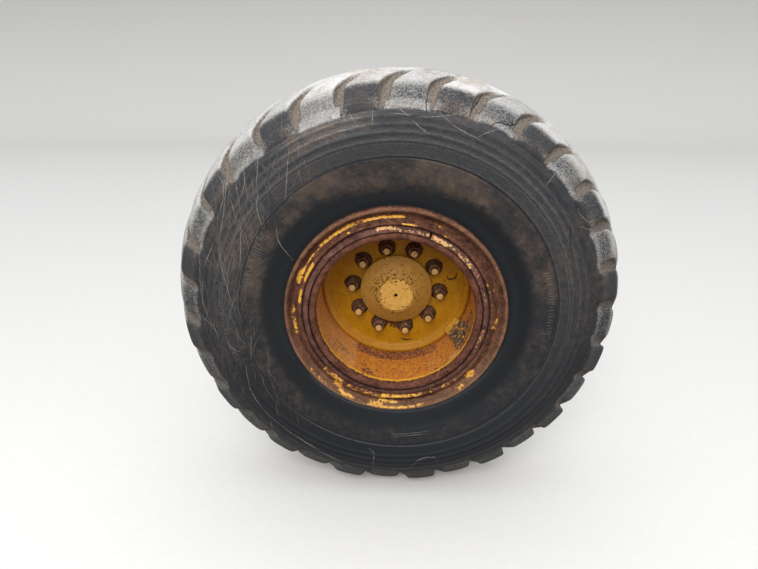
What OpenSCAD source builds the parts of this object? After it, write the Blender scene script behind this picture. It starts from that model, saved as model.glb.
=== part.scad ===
// Front wheel of a road grading machine on its steering knuckle, in millimetres.
// Origin: kingpin axis where the wheel's spin axis crosses it. +Z up along the kingpin,
// +Y from the wheel towards the machine, +X towards the machine's rear.
// Depths named *_y are counted from the wheel's outer plane, inwards along +Y.

/* [Placement] */
// distance from the rim's outer plane to the kingpin axis
kingpin_offset = 440; // [440:1:480]
// distance from the rim's outer plane to the tyre's middle plane
half_width = 172; // [168:1:176]

/* [Tyre] */
// outside diameter over the worn crown
tyre_od = 1364; // [1350:1:1376]
// widest section of the tyre
tyre_section = 348; // [344:1:352]
// radius of the flattened, worn crown
crown_arc_r = 330; // [300:5:400]
// lugs round each shoulder, long and short ones in turn
lug_count = 32; // [28:2:34]
// width of the groove between two lugs
groove_w = 32; // [28:1:36]
// depth of the groove at the shoulder
groove_depth = 20; // [14:1:24]
// lean of the groove on the lug's face, in degrees
foot_lean = 6; // [0:1:12]
// lean of the groove across the crown, in degrees
crown_lean = 40; // [20:1:45]
// place of one groove, in degrees from +X towards +Z
groove_angle = 1.95; // [0:0.05:11]
// rubber thickness in the sidewall
wall_t = 24; // [20:1:30]

/* [Rim] */
// outside diameter of both flanges
flange_od = 660; // [654:1:666]
// height of a flange over its bead seat
flange_height = 25.2; // [24:0.1:27]
// width of the side ring's face, from the lock ring to the lip
side_ring_w = 53.7; // [50:0.1:56]
// width of the lock ring's face
lock_w = 18; // [16:0.5:20]
// width of the gutter's round edge
gutter_w = 21; // [18:0.5:24]
// wall of the rim's tube
tube_t = 12; // [10:1:14]
// width of the split in the lock ring
split_w = 7; // [4:1:10]
// place of the split round the wheel, in degrees from +X towards +Z
split_angle = 69; // [0:1:359]

/* [Disc and hub] */
// outer face of the wheel disc, where the nuts seat
disc_y = 226; // [222:1:230]
// thickness of the wheel disc
disc_t = 14; // [12:1:16]
// bolt circle of the wheel studs
stud_pcd = 285.75; // [284:0.25:288]
// wheel studs
stud_count = 10; // [10:1:10]
// diameter of a stud
stud_d = 22; // [20:1:24]
// place of the first stud, in degrees from +X towards +Z
stud_angle = 102.8; // [90:0.1:110]
// diameter of the hub pilot
pilot_d = 220; // [218:1:222]
// diameter of the hub cap
cap_d = 233; // [231:1:235]
// height of the hub cap over its rim
cap_h = 40; // [36:1:44]

/* [Knuckle] */
// diameter of the kingpin
kingpin_d = 57.15; // [54:0.05:60]
// height of the kingpin boss
boss_h = 210; // [200:1:230]
// length of the steering arm
arm_len = 235; // [225:1:250]
// diameter of a ball stud hole in the steering arm
ball_hole_d = 28; // [24:1:32]

/* [Hidden] */
$fn = 96;

// clearances
seat_gap = 0.3;
run_gap = 0.05;
move_gap = 5.5;

// tyre
crown_wear = 4;
bulge_r = tyre_od / 2 - tyre_section / 2 + crown_wear;
section_r = tyre_section / 2;
sidewall_r = 500;
flange_r = flange_od / 2;
seat_r = flange_r - flange_height;
flange_t = 45;
bead_t = 42;
crown_extra = 16;
bore_overlap = 20;
flange_clear = 1;

// lugs: columns of both tables are the turn from the crown in degrees and the height over the section
TURN = 0;
LIFT = 1;
long_lug = [[21, -1], [41, 11], [45, 11.5], [62, 6], [65.5, -1]];
short_lug = [[33, 8], [43, 3], [54, -6], [61, -6], [68, 1.5]];
shoulder_tilt = 38;
groove_bend = -10;
groove_reach = 100;
over_lug = 40;
pitch = 360 / lug_count;

// raised rings and the mould line on the wall, as parts of the wall's width from the flange up
rings = [0.707, 0.79, 0.869, 0.952];
ring_round = 5;
ring_rise = 2;
seam_place = 0.533;
seam_step = 1.8;
seam_round = 2.2;

// rim rings
lip_r = 6.5;
lip_back = 20;
ring_face_y = 3;
crest_w = 47;
bevel = 8;
trough_depth = 14.5;
trough_slope = 18;
trough_w = 3;
side_in_r = flange_r - side_ring_w;
ring_seat_t = 32;
lock_out_r = side_in_r - seat_gap;
lock_in_r = lock_out_r - lock_w;
lock_slope = 7.5;
lock_land = 4;
lock_depth = 26;
groove_gap = 1;
gutter_r = lock_in_r - groove_gap;
opening_r = gutter_r - gutter_w;
gutter_depth = 36;
shelf_gap = 1;
shelf_t = 10;
tube_in_r = opening_r + 9;
tube_out_r = tube_in_r + tube_t;
back_seat_t = 40;

// hub
stud_r = stud_d / 2;
stud_end_y = 180;
hub_flange_t = 22;
hub_flange_r = stud_pcd / 2 + 24;
hub_flange_y = disc_y + disc_t;
pilot_y = disc_y - 10;
hub_back_y = 350;
cap_edge_t = 12;
bend_r = 12;
hollow_r = 20;
bend_back = 2;
skirt_t = 12;
skirt_depth = 38;
guard_angle = 34.5;
guard_lean = 8.25;
// corners of the guard plate: columns are the place sideways and the depth
SIDEWAYS = 0;
DEPTH = 1;
guard_corners = [[29, 208], [67, 120], [2, 60], [-29, 208]];
guard_legs = [24, -20];
outer_journal_r = 32;
inner_journal_r = 45;
seal_t = 6;
seal_w = 24;
bearing_w = 40;
outer_bearing_w = 14;
cavity_lap = 2;

// knuckle
boss_r = 58;
bush_t = 5;
arm_t = 42;
arm_z = -80;
arm_side = 40;
arm_root_step = 3;
eye_r = 34;
hole_step = 85;
fitting_r = 4;
fitting_z = 70;
fitting_depth = 14;

module about_y() {
  translate([0, -kingpin_offset, 0]) rotate([-90, 0, 0]) children();
}

// a ring turned about the spin axis from a section drawn as [radius, depth]
module turned() {
  about_y() rotate_extrude($fn = 180) children();
}

// one copy at each stud
module at_studs() {
  for (i = [0 : stud_count - 1])
    about_y() rotate([0, 0, -(stud_angle - i * 360 / stud_count)])
      translate([stud_pcd / 2, 0, 0]) children();
}

// a place on the section circle, at a turn from the crown and a height over the circle
function on_section(side, spot) =
  [bulge_r + (section_r + spot[LIFT]) * cos(spot[TURN]),
   half_width + side * (section_r + spot[LIFT]) * sin(spot[TURN])];

// depth of the lower wall's face at a radius, on the outer side
function wall_y(radius) =
  half_width - section_r + sidewall_r - sqrt(pow(sidewall_r, 2) - pow(radius - bulge_r, 2));

// depth of the belly's face at a radius over the widest place, on the outer side
function belly_y(radius) = half_width - sqrt(pow(section_r, 2) - pow(radius - bulge_r, 2));

module wall_band(rise, top_r) {
  low_r = flange_r + flange_clear;
  intersection() {
    translate([bulge_r, half_width + section_r - sidewall_r]) circle(r = sidewall_r + rise, $fn = 256);
    translate([bulge_r, half_width - section_r + sidewall_r]) circle(r = sidewall_r + rise, $fn = 256);
    translate([low_r, 0]) square([top_r - low_r, 2 * half_width]);
  }
}

module tyre_outline() {
  low_r = flange_r + flange_clear;
  last = len(long_lug) - 1;
  foot_r = bulge_r + section_r * cos(long_lug[last][TURN]);
  seam_r = low_r + seam_place * (foot_r - low_r);
  intersection() {
    difference() {
      union() {
        intersection() {
          translate([bulge_r, half_width]) circle(r = section_r);
          translate([low_r, -half_width]) square([tyre_od, 4 * half_width]);
        }
        wall_band(0, bulge_r);
        wall_band(seam_step, seam_r);
        translate([seat_r + seat_gap, flange_t]) square([flange_r, 2 * (half_width - flange_t)]);
        polygon(concat([for (i = [last : -1 : 0]) on_section(-1, long_lug[i])],
                       [for (spot = long_lug) on_section(1, spot)]));
        for (place = rings)
          both_walls(low_r + place * (foot_r - low_r), ring_rise - ring_round) circle(r = ring_round);
      }
      both_walls(seam_r, 0) circle(r = seam_round, $fn = 24);
    }
    translate([tyre_od / 2 - crown_arc_r, half_width]) circle(r = crown_arc_r, $fn = 256);
  }
}

// on both walls, at a radius and a height over the wall's face
module both_walls(radius, rise) {
  face_y = radius < bulge_r ? wall_y(radius) : belly_y(radius);
  for (y = [face_y - rise, 2 * half_width - face_y + rise])
    translate([radius, y]) children();
}

module tyre_inside() {
  inner_r = section_r - wall_t;
  mouth = half_width - flange_t - bead_t;
  belly_r = bulge_r - crown_extra;
  translate([belly_r, half_width]) circle(r = inner_r);
  polygon([[seat_r - bore_overlap, half_width - mouth], [seat_r + bore_overlap, half_width - mouth],
           [belly_r, half_width - inner_r], [belly_r, half_width + inner_r],
           [seat_r + bore_overlap, half_width + mouth], [seat_r - bore_overlap, half_width + mouth]]);
}

// a groove seen along the shoulder's normal: one leg down the lug's face, one across the crown
module groove_plan(to_crown) {
  foot_half = groove_w / 2 / cos(foot_lean);
  crown_half = groove_w / 2 / cos(crown_lean);
  miter = (crown_half - foot_half) / (tan(crown_lean) - tan(foot_lean));
  miter_u = foot_half - miter * tan(foot_lean);
  foot_u = -groove_reach * tan(foot_lean);
  crown_u = groove_reach * tan(crown_lean);
  end = to_crown * groove_reach;
  translate([groove_bend, 0])
    polygon([[foot_u + foot_half, -end], [miter_u, -to_crown * miter], [crown_u + crown_half, end],
             [crown_u - crown_half, end], [-miter_u, to_crown * miter], [foot_u - foot_half, -end]]);
}

module groove(side) {
  translate([bulge_r + section_r * cos(shoulder_tilt), 0, half_width + side * section_r * sin(shoulder_tilt)])
    rotate([0, -side * shoulder_tilt, 0]) rotate([90, 0, 90]) translate([0, 0, -groove_depth])
      linear_extrude(groove_depth + over_lug) groove_plan(-side);
}

// what a short lug lacks of a long one, from groove to groove
module short_lug_cut(side) {
  last = len(short_lug) - 1;
  rotate([0, 0, groove_bend / bulge_r * 180 / PI]) rotate_extrude(angle = pitch, $fn = 180)
    polygon(concat([for (spot = short_lug) on_section(side, spot)],
                   [on_section(side, [short_lug[last][TURN], over_lug]),
                    on_section(side, [short_lug[0][TURN], over_lug])]));
}

module tyre() {
  color("#2b2c2f") difference() {
    turned() difference() {
      tyre_outline();
      tyre_inside();
    }
    for (i = [0 : lug_count - 1], side = [-1, 1])
      about_y() rotate([0, 0, -groove_angle - (i + (side + 1) / 4) * pitch]) groove(side);
    for (i = [2 : 2 : lug_count], side = [-1, 1])
      about_y() rotate([0, 0, -groove_angle - (i + (side + 1) / 4) * pitch]) short_lug_cut(side);
  }
}

// section of a flange: a face with a trough in it and a rolled lip, outer face at ring_face_y
module flange_section(inner_r, slant) {
  crest_r = flange_r - crest_w;
  floor_y = ring_face_y + trough_depth;
  union() {
    polygon([[inner_r, ring_face_y + slant], [crest_r, ring_face_y], [crest_r + trough_slope, floor_y],
             [crest_r + trough_slope + trough_w, floor_y], [flange_r - 2 * lip_r, lip_r], [flange_r, lip_r],
             [flange_r, lip_r + lip_back], [flange_r - lip_r, lip_r + lip_back], [flange_r - lip_r, flange_t],
             [inner_r, flange_t]]);
    translate([flange_r - lip_r, lip_r]) circle(r = lip_r, $fn = 48);
  }
}

module rim_base() {
  round_r = gutter_w / 2;
  front_y = ring_face_y - 1;
  shelf_y = ring_face_y + lock_depth + shelf_gap;
  width = 2 * half_width;
  color("#6b4038") turned() union() {
    translate([opening_r + round_r, front_y + round_r]) circle(r = round_r);
    translate([opening_r, front_y + round_r]) square([gutter_w, gutter_depth - front_y - round_r]);
    translate([tube_in_r, shelf_y]) square([tube_t, width - shelf_y - ring_face_y]);
    translate([tube_in_r, shelf_y]) square([lock_out_r - tube_in_r - bevel, shelf_t]);
    translate([0, width]) mirror([0, 1]) flange_section(tube_in_r, 0);
    translate([tube_in_r, width - flange_t - back_seat_t]) square([seat_r - tube_in_r, back_seat_t]);
  }
}

module side_ring() {
  color("#5f3a33") turned() union() {
    flange_section(side_in_r, bevel);
    translate([side_in_r, flange_t]) square([seat_r - side_in_r, ring_seat_t]);
  }
}

module lock_ring() {
  half_split = split_w / (2 * lock_out_r) * 180 / PI;
  color("#6a463f") about_y() rotate([0, 0, -split_angle + half_split])
    rotate_extrude(angle = 360 - 2 * half_split, $fn = 180)
      polygon([[lock_in_r, ring_face_y], [lock_in_r + lock_land, ring_face_y],
               [lock_out_r, ring_face_y + lock_slope], [lock_out_r, ring_face_y + lock_depth],
               [lock_in_r, ring_face_y + lock_depth]]);
}

// the disc: a flat face that dips into a hollow and rolls over into a skirt on the rim's tube
module wheel_disc() {
  weld = 0.2;
  bend = [tube_in_r - seat_gap - bend_r, disc_y - bend_back];
  hollow_dy = hollow_r - bend_back;
  hollow_dr = sqrt(pow(bend_r + hollow_r - weld, 2) - pow(hollow_dy, 2));
  hollow = [bend[0] - hollow_dr, disc_y - hollow_r];
  bore_r = pilot_d / 2 + seat_gap;
  back_y = disc_y + disc_t;
  color("#b58a1f") difference() {
    turned() union() {
      translate([bore_r, disc_y]) square([hollow[0] + hollow_r / 4 - bore_r, disc_t]);
      difference() {
        polygon([hollow, bend, [bend[0], back_y], [hollow[0], back_y]]);
        translate(hollow) circle(r = hollow_r);
      }
      translate(bend) circle(r = bend_r, $fn = 64);
      translate(bend) square([skirt_t, skirt_depth + bend_back]);
    }
    at_studs() translate([0, 0, disc_y - disc_t]) cylinder(r = stud_r + 1, h = 3 * disc_t);
  }
}

module wheel_studs() {
  head_r = 16;
  head_t = 8;
  color("#8a6f45") at_studs() {
    translate([0, 0, stud_end_y]) cylinder(r = stud_r, h = hub_flange_y + hub_flange_t - stud_end_y);
    translate([0, 0, hub_flange_y + hub_flange_t]) cylinder(r = head_r, h = head_t);
  }
}

module wheel_nuts() {
  nut_af = 33;
  nut_h = 30;
  chamfer = 3;
  corner_r = nut_af / sqrt(3);
  collar_r = 24.5;
  collar_edge = 2.4;
  collar_h = 8;
  color("#4a3328") at_studs() translate([0, 0, disc_y]) mirror([0, 0, 1]) difference() {
    union() {
      intersection() {
        cylinder(r = corner_r, h = nut_h, $fn = 6);
        rotate_extrude() polygon([[0, 0], [corner_r, 0], [corner_r, nut_h - chamfer],
                                  [nut_af / 2, nut_h], [0, nut_h]]);
      }
      rotate_extrude() polygon([[0, 0], [collar_r, 0], [collar_r, collar_edge], [nut_af / 2 + 2, collar_h],
                                [0, collar_h]]);
    }
    translate([0, 0, -1]) cylinder(r = stud_r + 0.2, h = nut_h + 2);
  }
}

module hub() {
  barrel_front_r = 98;
  barrel_back_r = 84;
  cavity_r = 66;
  cavity_y = hub_flange_y + outer_bearing_w - cavity_lap;
  color("#5a4a3a") difference() {
    turned() difference() {
      union() {
        translate([0, pilot_y]) square([pilot_d / 2, hub_flange_y - pilot_y]);
        translate([0, hub_flange_y]) square([hub_flange_r, hub_flange_t]);
        polygon([[0, hub_flange_y], [barrel_front_r, hub_flange_y], [barrel_back_r, hub_back_y],
                 [0, hub_back_y]]);
      }
      translate([0, pilot_y - 1]) square([outer_journal_r + run_gap, hub_back_y - pilot_y + 2]);
      translate([0, cavity_y]) square([cavity_r, hub_back_y - bearing_w + cavity_lap - cavity_y]);
      translate([0, hub_back_y - bearing_w]) square([inner_journal_r + run_gap, bearing_w + cavity_lap]);
    }
    at_studs() translate([0, 0, hub_flange_y - 1]) cylinder(r = stud_r + 0.2, h = hub_flange_t + 2);
  }
}

module hub_cap() {
  top_r = 62;
  button_r = 54.5;
  button_h = 5;
  shell_t = 8;
  plug_r = 5;
  plug_depth = 3;
  inner_r = outer_journal_r + 24;
  base_y = pilot_y - cap_edge_t;
  top_y = base_y - cap_h;
  color("#b39a5a") turned() polygon([
    [0, top_y - button_h + plug_depth], [plug_r, top_y - button_h + plug_depth],
    [plug_r, top_y - button_h], [button_r, top_y - button_h], [button_r, top_y], [top_r, top_y],
    [cap_d / 2, base_y], [cap_d / 2, pilot_y], [inner_r, pilot_y], [inner_r, base_y],
    [inner_r - 10, top_y + shell_t], [0, top_y + shell_t]]);
}

// a leaning plate on two legs over the valve
module valve_guard() {
  guard_t = 4;
  leg_w = 8;
  leg_y = 190;
  near_y = guard_corners[2][DEPTH];
  near_r = tube_in_r - guard_t - 1;
  plate_r = near_r - (leg_y - near_y) * tan(guard_lean) + guard_t / 2;
  color("#a07d22") about_y() rotate([0, 0, guard_angle]) {
    translate([near_r, 0, near_y]) rotate([0, -guard_lean, 0]) rotate([90, 0, 90])
      linear_extrude(guard_t) polygon([for (corner = guard_corners) [-corner[SIDEWAYS], corner[DEPTH] - near_y]]);
    for (sideways = guard_legs) {
      wall_r = sqrt(pow(tube_in_r - seat_gap, 2) - pow(abs(sideways) + leg_w / 2, 2));
      translate([plate_r, -sideways - leg_w / 2, leg_y]) cube([wall_r - plate_r, leg_w, leg_w]);
    }
  }
}

// the stem lies along the rim's tube behind the guard and turns out through the wall
module valve_stem() {
  stem_r = 5;
  stem_l = 50;
  stem_y = 150;
  stem_lift = 8.5;
  cap_r = 6;
  cap_l = 12;
  color("#3a3a38") about_y() rotate([0, 0, guard_angle]) translate([tube_in_r - stem_lift, 0, stem_y]) {
    cylinder(r = stem_r, h = stem_l);
    cylinder(r = cap_r, h = cap_l);
    translate([0, 0, stem_l - stem_r]) rotate([0, 90, 0]) cylinder(r = stem_r, h = stem_lift - seat_gap);
  }
}

module grease_seal() {
  color("#222222") turned()
    translate([inner_journal_r + seat_gap, hub_back_y]) square([seal_w, seal_t]);
}

module knuckle() {
  color("#8a6d20") difference() {
    union() {
      spindle();
      translate([0, 0, -boss_h / 2]) cylinder(r = boss_r, h = boss_h);
      translate([0, 0, arm_z]) linear_extrude(arm_t) arm_outline(boss_r - arm_root_step, eye_r);
    }
    translate([0, 0, -boss_h / 2 - 1]) cylinder(r = kingpin_d / 2 + bush_t, h = boss_h + 2);
    for (reach = [arm_len, arm_len - hole_step])
      translate([reach, arm_side * reach / arm_len, arm_z - 1]) cylinder(r = ball_hole_d / 2, h = arm_t + 2);
    for (z = [-fitting_z, fitting_z])
      translate([0, boss_r - fitting_depth, z]) rotate([-90, 0, 0])
        cylinder(r = fitting_r + 0.2, h = 2 * fitting_depth);
  }
}

// the turned axle that carries the hub, with its shoulder and neck
module spindle() {
  end_y = pilot_y - 2;
  outer_seat_y = hub_flange_y + outer_bearing_w;
  inner_seat_y = hub_back_y - bearing_w - cavity_lap;
  shoulder_y = hub_back_y + seal_t + move_gap;
  shoulder_r = 64;
  shoulder_t = 14;
  neck_r = 72;
  neck_y = kingpin_offset - 20;
  turned() polygon([
    [0, end_y], [outer_journal_r, end_y], [outer_journal_r, outer_seat_y], [inner_journal_r, inner_seat_y],
    [inner_journal_r, shoulder_y], [shoulder_r, shoulder_y], [shoulder_r, shoulder_y + shoulder_t],
    [neck_r, neck_y], [0, neck_y]]);
}

module arm_outline(root_r, tip_r) {
  length = sqrt(arm_len * arm_len + arm_side * arm_side);
  lean = acos((root_r - tip_r) / length);
  rotate(atan2(arm_side, arm_len)) {
    circle(r = root_r);
    translate([length, 0]) circle(r = tip_r);
    polygon([[root_r * cos(lean), root_r * sin(lean)], [length + tip_r * cos(lean), tip_r * sin(lean)],
             [length + tip_r * cos(lean), -tip_r * sin(lean)], [root_r * cos(lean), -root_r * sin(lean)]]);
  }
}

module kingpin_bushings() {
  bush_len = 62;
  color("#a8843c") for (z = [-boss_h / 2, boss_h / 2 - bush_len])
    translate([0, 0, z]) difference() {
      cylinder(r = kingpin_d / 2 + bush_t - 0.02, h = bush_len);
      translate([0, 0, -1]) cylinder(r = kingpin_d / 2 + run_gap, h = bush_len + 2);
    }
}

module grease_fittings() {
  tip_r = 2.5;
  tip_h = 9;
  color("#8d8f90") for (z = [-fitting_z, fitting_z])
    translate([0, boss_r - fitting_depth + seat_gap, z]) rotate([-90, 0, 0]) {
      cylinder(r = fitting_r, h = fitting_depth + 2);
      translate([0, 0, fitting_depth + 1]) cylinder(r1 = fitting_r, r2 = tip_r, h = tip_h);
    }
}

tyre();
rim_base();
side_ring();
lock_ring();
wheel_disc();
wheel_studs();
wheel_nuts();
hub();
hub_cap();
valve_guard();
valve_stem();
grease_seal();
knuckle();
kingpin_bushings();
grease_fittings();
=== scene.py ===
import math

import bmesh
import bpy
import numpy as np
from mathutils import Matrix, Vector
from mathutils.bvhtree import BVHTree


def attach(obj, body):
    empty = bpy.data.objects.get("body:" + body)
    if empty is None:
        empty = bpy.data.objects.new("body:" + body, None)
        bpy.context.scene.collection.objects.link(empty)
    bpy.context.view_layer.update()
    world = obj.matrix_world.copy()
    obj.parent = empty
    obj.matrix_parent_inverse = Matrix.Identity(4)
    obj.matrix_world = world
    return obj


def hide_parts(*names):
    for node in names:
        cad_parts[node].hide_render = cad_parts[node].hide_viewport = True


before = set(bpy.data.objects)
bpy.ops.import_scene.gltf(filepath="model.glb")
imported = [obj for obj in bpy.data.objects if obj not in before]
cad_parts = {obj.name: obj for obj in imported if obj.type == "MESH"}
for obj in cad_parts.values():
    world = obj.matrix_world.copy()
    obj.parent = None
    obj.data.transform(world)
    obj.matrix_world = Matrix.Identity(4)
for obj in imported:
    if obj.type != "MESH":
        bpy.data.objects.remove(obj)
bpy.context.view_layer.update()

# %% [markdown]
# # A worn front wheel of a road grading machine
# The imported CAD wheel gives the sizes, the joint and the places. The cells below add what a camera
# sees of it: old rubber, rust, and paint that is nearly gone.
# Two ways of working carry most of the look. Section outlines are turned round the axle as dense
# meshes, so that worn edges can be round. Each mesh also carries named values at its points, such
# as how much paint is left, which its material reads and breaks up with fine noise.
# Sizes that a person would measure on the wheel are in millimetres. Blender's own places, such as
# the points of a mesh or where the camera stands, are in metres.

MM = 0.001
chance = np.random.default_rng(7)

# %% [markdown]
# ## Places on a wheel
# Everything here is round, so a place is a radius, an angle and a depth. Angles are in degrees from
# +X towards +Z, counter-clockwise in the picture. Depths are counted inwards from the rim's outer
# plane. Eta is the distance from the tyre's middle plane.
# Dust and wear come and go softly over such places, so soft steps and bells are defined here too.

# %% wheel places
OUTER_PLANE = -440.0
HALF_WIDTH = 172.0
CROWN_R = 682.0
FLANGE_R = 330.0
print("tyre", 2 * CROWN_R, "mm across, on a flange of", 2 * FLANGE_R, "mm")


def from_wheel(radius, angle, depth):
    """Points in metres from radius in mm, angle in degrees and depth in mm."""
    radius, angle, depth = np.broadcast_arrays(radius, np.radians(angle), depth)
    return np.stack((radius * np.cos(angle), OUTER_PLANE + depth, radius * np.sin(angle)), -1) * MM


def upward(angle):
    """One at the top of the wheel, zero at its sides and minus one at the bottom."""
    return np.sin(np.radians(angle))


def rightward(angle):
    """One at the right of the picture and minus one at the left."""
    return np.cos(np.radians(angle))


def smooth(low, high, value):
    """Zero below low, one above high and an even S between them."""
    t = np.clip((value - low) / (high - low), 0, 1)
    return t * t * (3 - 2 * t)


def between(value, low, rise, fall, high):
    """One from rise to fall, zero below low and above high."""
    return smooth(low, rise, value) * smooth(high, fall, value)


def hump(value, middle, spread):
    """A bell that is one at its middle and about a third at spread from it."""
    return np.exp(-(((value - middle) / spread) ** 2))


# %% [markdown]
# ## Meshes from points
# A Screw modifier could turn a profile into a ring, but then no point would know its place on the
# wheel. Here the points are worked out as arrays, so each can carry its share of dust or paint.

# %% meshes from points
def mesh_piece(name, points, faces, body, material, values=None):
    """A smooth mesh piece from points in metres that rides on a body, with named point values."""
    mesh = bpy.data.meshes.new(name)
    mesh.from_pydata(np.asarray(points).reshape(-1, 3).tolist(), [], faces)
    work = bmesh.new()
    work.from_mesh(mesh)
    bmesh.ops.recalc_face_normals(work, faces=work.faces)
    work.to_mesh(mesh)
    work.free()
    mesh.polygons.foreach_set("use_smooth", [True] * len(mesh.polygons))
    for key, numbers in (values or {}).items():
        store = mesh.attributes.new(key, "FLOAT", "POINT")
        store.data.foreach_set("value", np.asarray(numbers, np.float32).ravel())
    mesh.materials.append(material)
    piece = bpy.data.objects.new(name, mesh)
    bpy.context.scene.collection.objects.link(piece)
    print(f"{name}: {len(mesh.polygons)} faces")
    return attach(piece, body)


def grid_faces(rows, columns, close_rows=False, close_columns=True):
    """Quads over a grid of points, joined back to the start where asked."""
    faces = []
    for i in range(rows if close_rows else rows - 1):
        for j in range(columns if close_columns else columns - 1):
            n, k = (i + 1) % rows, (j + 1) % columns
            faces.append((i * columns + j, i * columns + k, n * columns + k, n * columns + j))
    return faces


print("a closed grid of 4 by 6 points has", len(grid_faces(4, 6, True)), "faces")

# %% [markdown]
# ## Colours and nodes
# Colours are picked as sRGB hex codes, as in any paint program, and shaders reckon in linear light,
# so one function turns them. Another adds a node with its settings and links, and names or numbers
# inputs as Blender does. In Math 0, 1 and 2 are the terms. In Map Range 0 is the value, 1 and 2 are
# what it runs from, and 3 and 4 what it runs to, which is 0 and 1 if nothing is said. In a colour
# Mix 0 is the share, and 6 and 7 are the colours.

# %% helpers for materials
def colour(code):
    """An sRGB hex colour as linear red, green, blue and alpha."""
    parts = [int(code[i:i + 2], 16) / 255 for i in (1, 3, 5)]
    return [c / 12.92 if c <= 0.04045 else ((c + 0.055) / 1.055) ** 2.4 for c in parts] + [1.0]


def socket_of(value):
    """The output that a node gives, or the value itself if it is no node."""
    if isinstance(value, bpy.types.Node):
        return next(out for out in value.outputs if out.enabled)
    return value


def add(tree, kind, inputs=None, **settings):
    """Adds one node with its settings; an input takes a value, a socket or another node."""
    made = tree.nodes.new("ShaderNode" + kind)
    for key, value in settings.items():
        setattr(made, key, value)
    for key, value in (inputs or {}).items():
        value = socket_of(value)
        if isinstance(value, bpy.types.NodeSocket):
            tree.links.new(value, made.inputs[key])
        else:
            made.inputs[key].default_value = value
    return made


def per_metre(size):
    """The scale of a noise whose patches are about this many mm across, as places are in metres."""
    return 1 / (size * MM)


def new_material(name):
    """An empty node material and its node tree."""
    material = bpy.data.materials.new(name)
    material.use_nodes = True
    material.node_tree.nodes.clear()
    return material, material.node_tree


def finished(material, looks):
    """The material, once its shader has these inputs and goes to the output."""
    tree = material.node_tree
    shader = add(tree, "BsdfPrincipled", looks)
    add(tree, "OutputMaterial", {"Surface": shader})
    print(f"{material.name}: {len(tree.nodes)} nodes")
    return material


# how many times finer across than along one turn the streaks are, at a radius of one metre
STREAK = 9.0


def wheel_space(tree):
    """Object place, and a vector in which noise is drawn out into streaks round the axle."""
    place = add(tree, "TexCoord").outputs["Object"]
    flat = add(tree, "VectorMath", {0: place, 1: (1, 0, 1)}, operation="MULTIPLY")
    length = add(tree, "VectorMath", {0: flat}, operation="LENGTH").outputs["Value"]
    unit = add(tree, "VectorMath", {0: flat}, operation="NORMALIZE")
    ring = add(tree, "CombineXYZ", {0: length, 1: length, 2: length})
    streaks = add(tree, "VectorMath", {0: ring, 1: (STREAK,) * 3, 2: unit}, operation="MULTIPLY_ADD")
    return place, streaks


print("mid grey #808080 is", round(colour("#808080")[0], 3), "in linear light")

# %% [markdown]
# ## Rubber
# A tyre is natural rubber filled with soot, moulded under heat, so new it is black with a soft
# sheen. Old rubber is a dark blue-grey. A thin film of dust greys it evenly, brown dirt stains it
# in patches, packs into the grooves and lies pale and grainy on the worn lugs.
# Each layer could be a material of its own, but one material for all lets dust run on without a
# seam from lug to wall. Four point values say where: film, brown, groove and pale. Film and pale
# also hold painted light from above. A film below zero darkens the wall as painted shade, at the
# lower left and beside the rim's lip, where the rubber is also wiped clean.

# %% rubber material
# sizes in mm; grains of dust and pores are a tenth of a millimetre, too fine to show, so they are
# drawn as clods and pits that are just coarse enough
STAIN = 100.0
MUD_PATCH = 21.0
CLOD = 4.75
WIPE = 4.6
PORE = 1.6
RUBBER_RELIEF = 1.1


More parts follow.
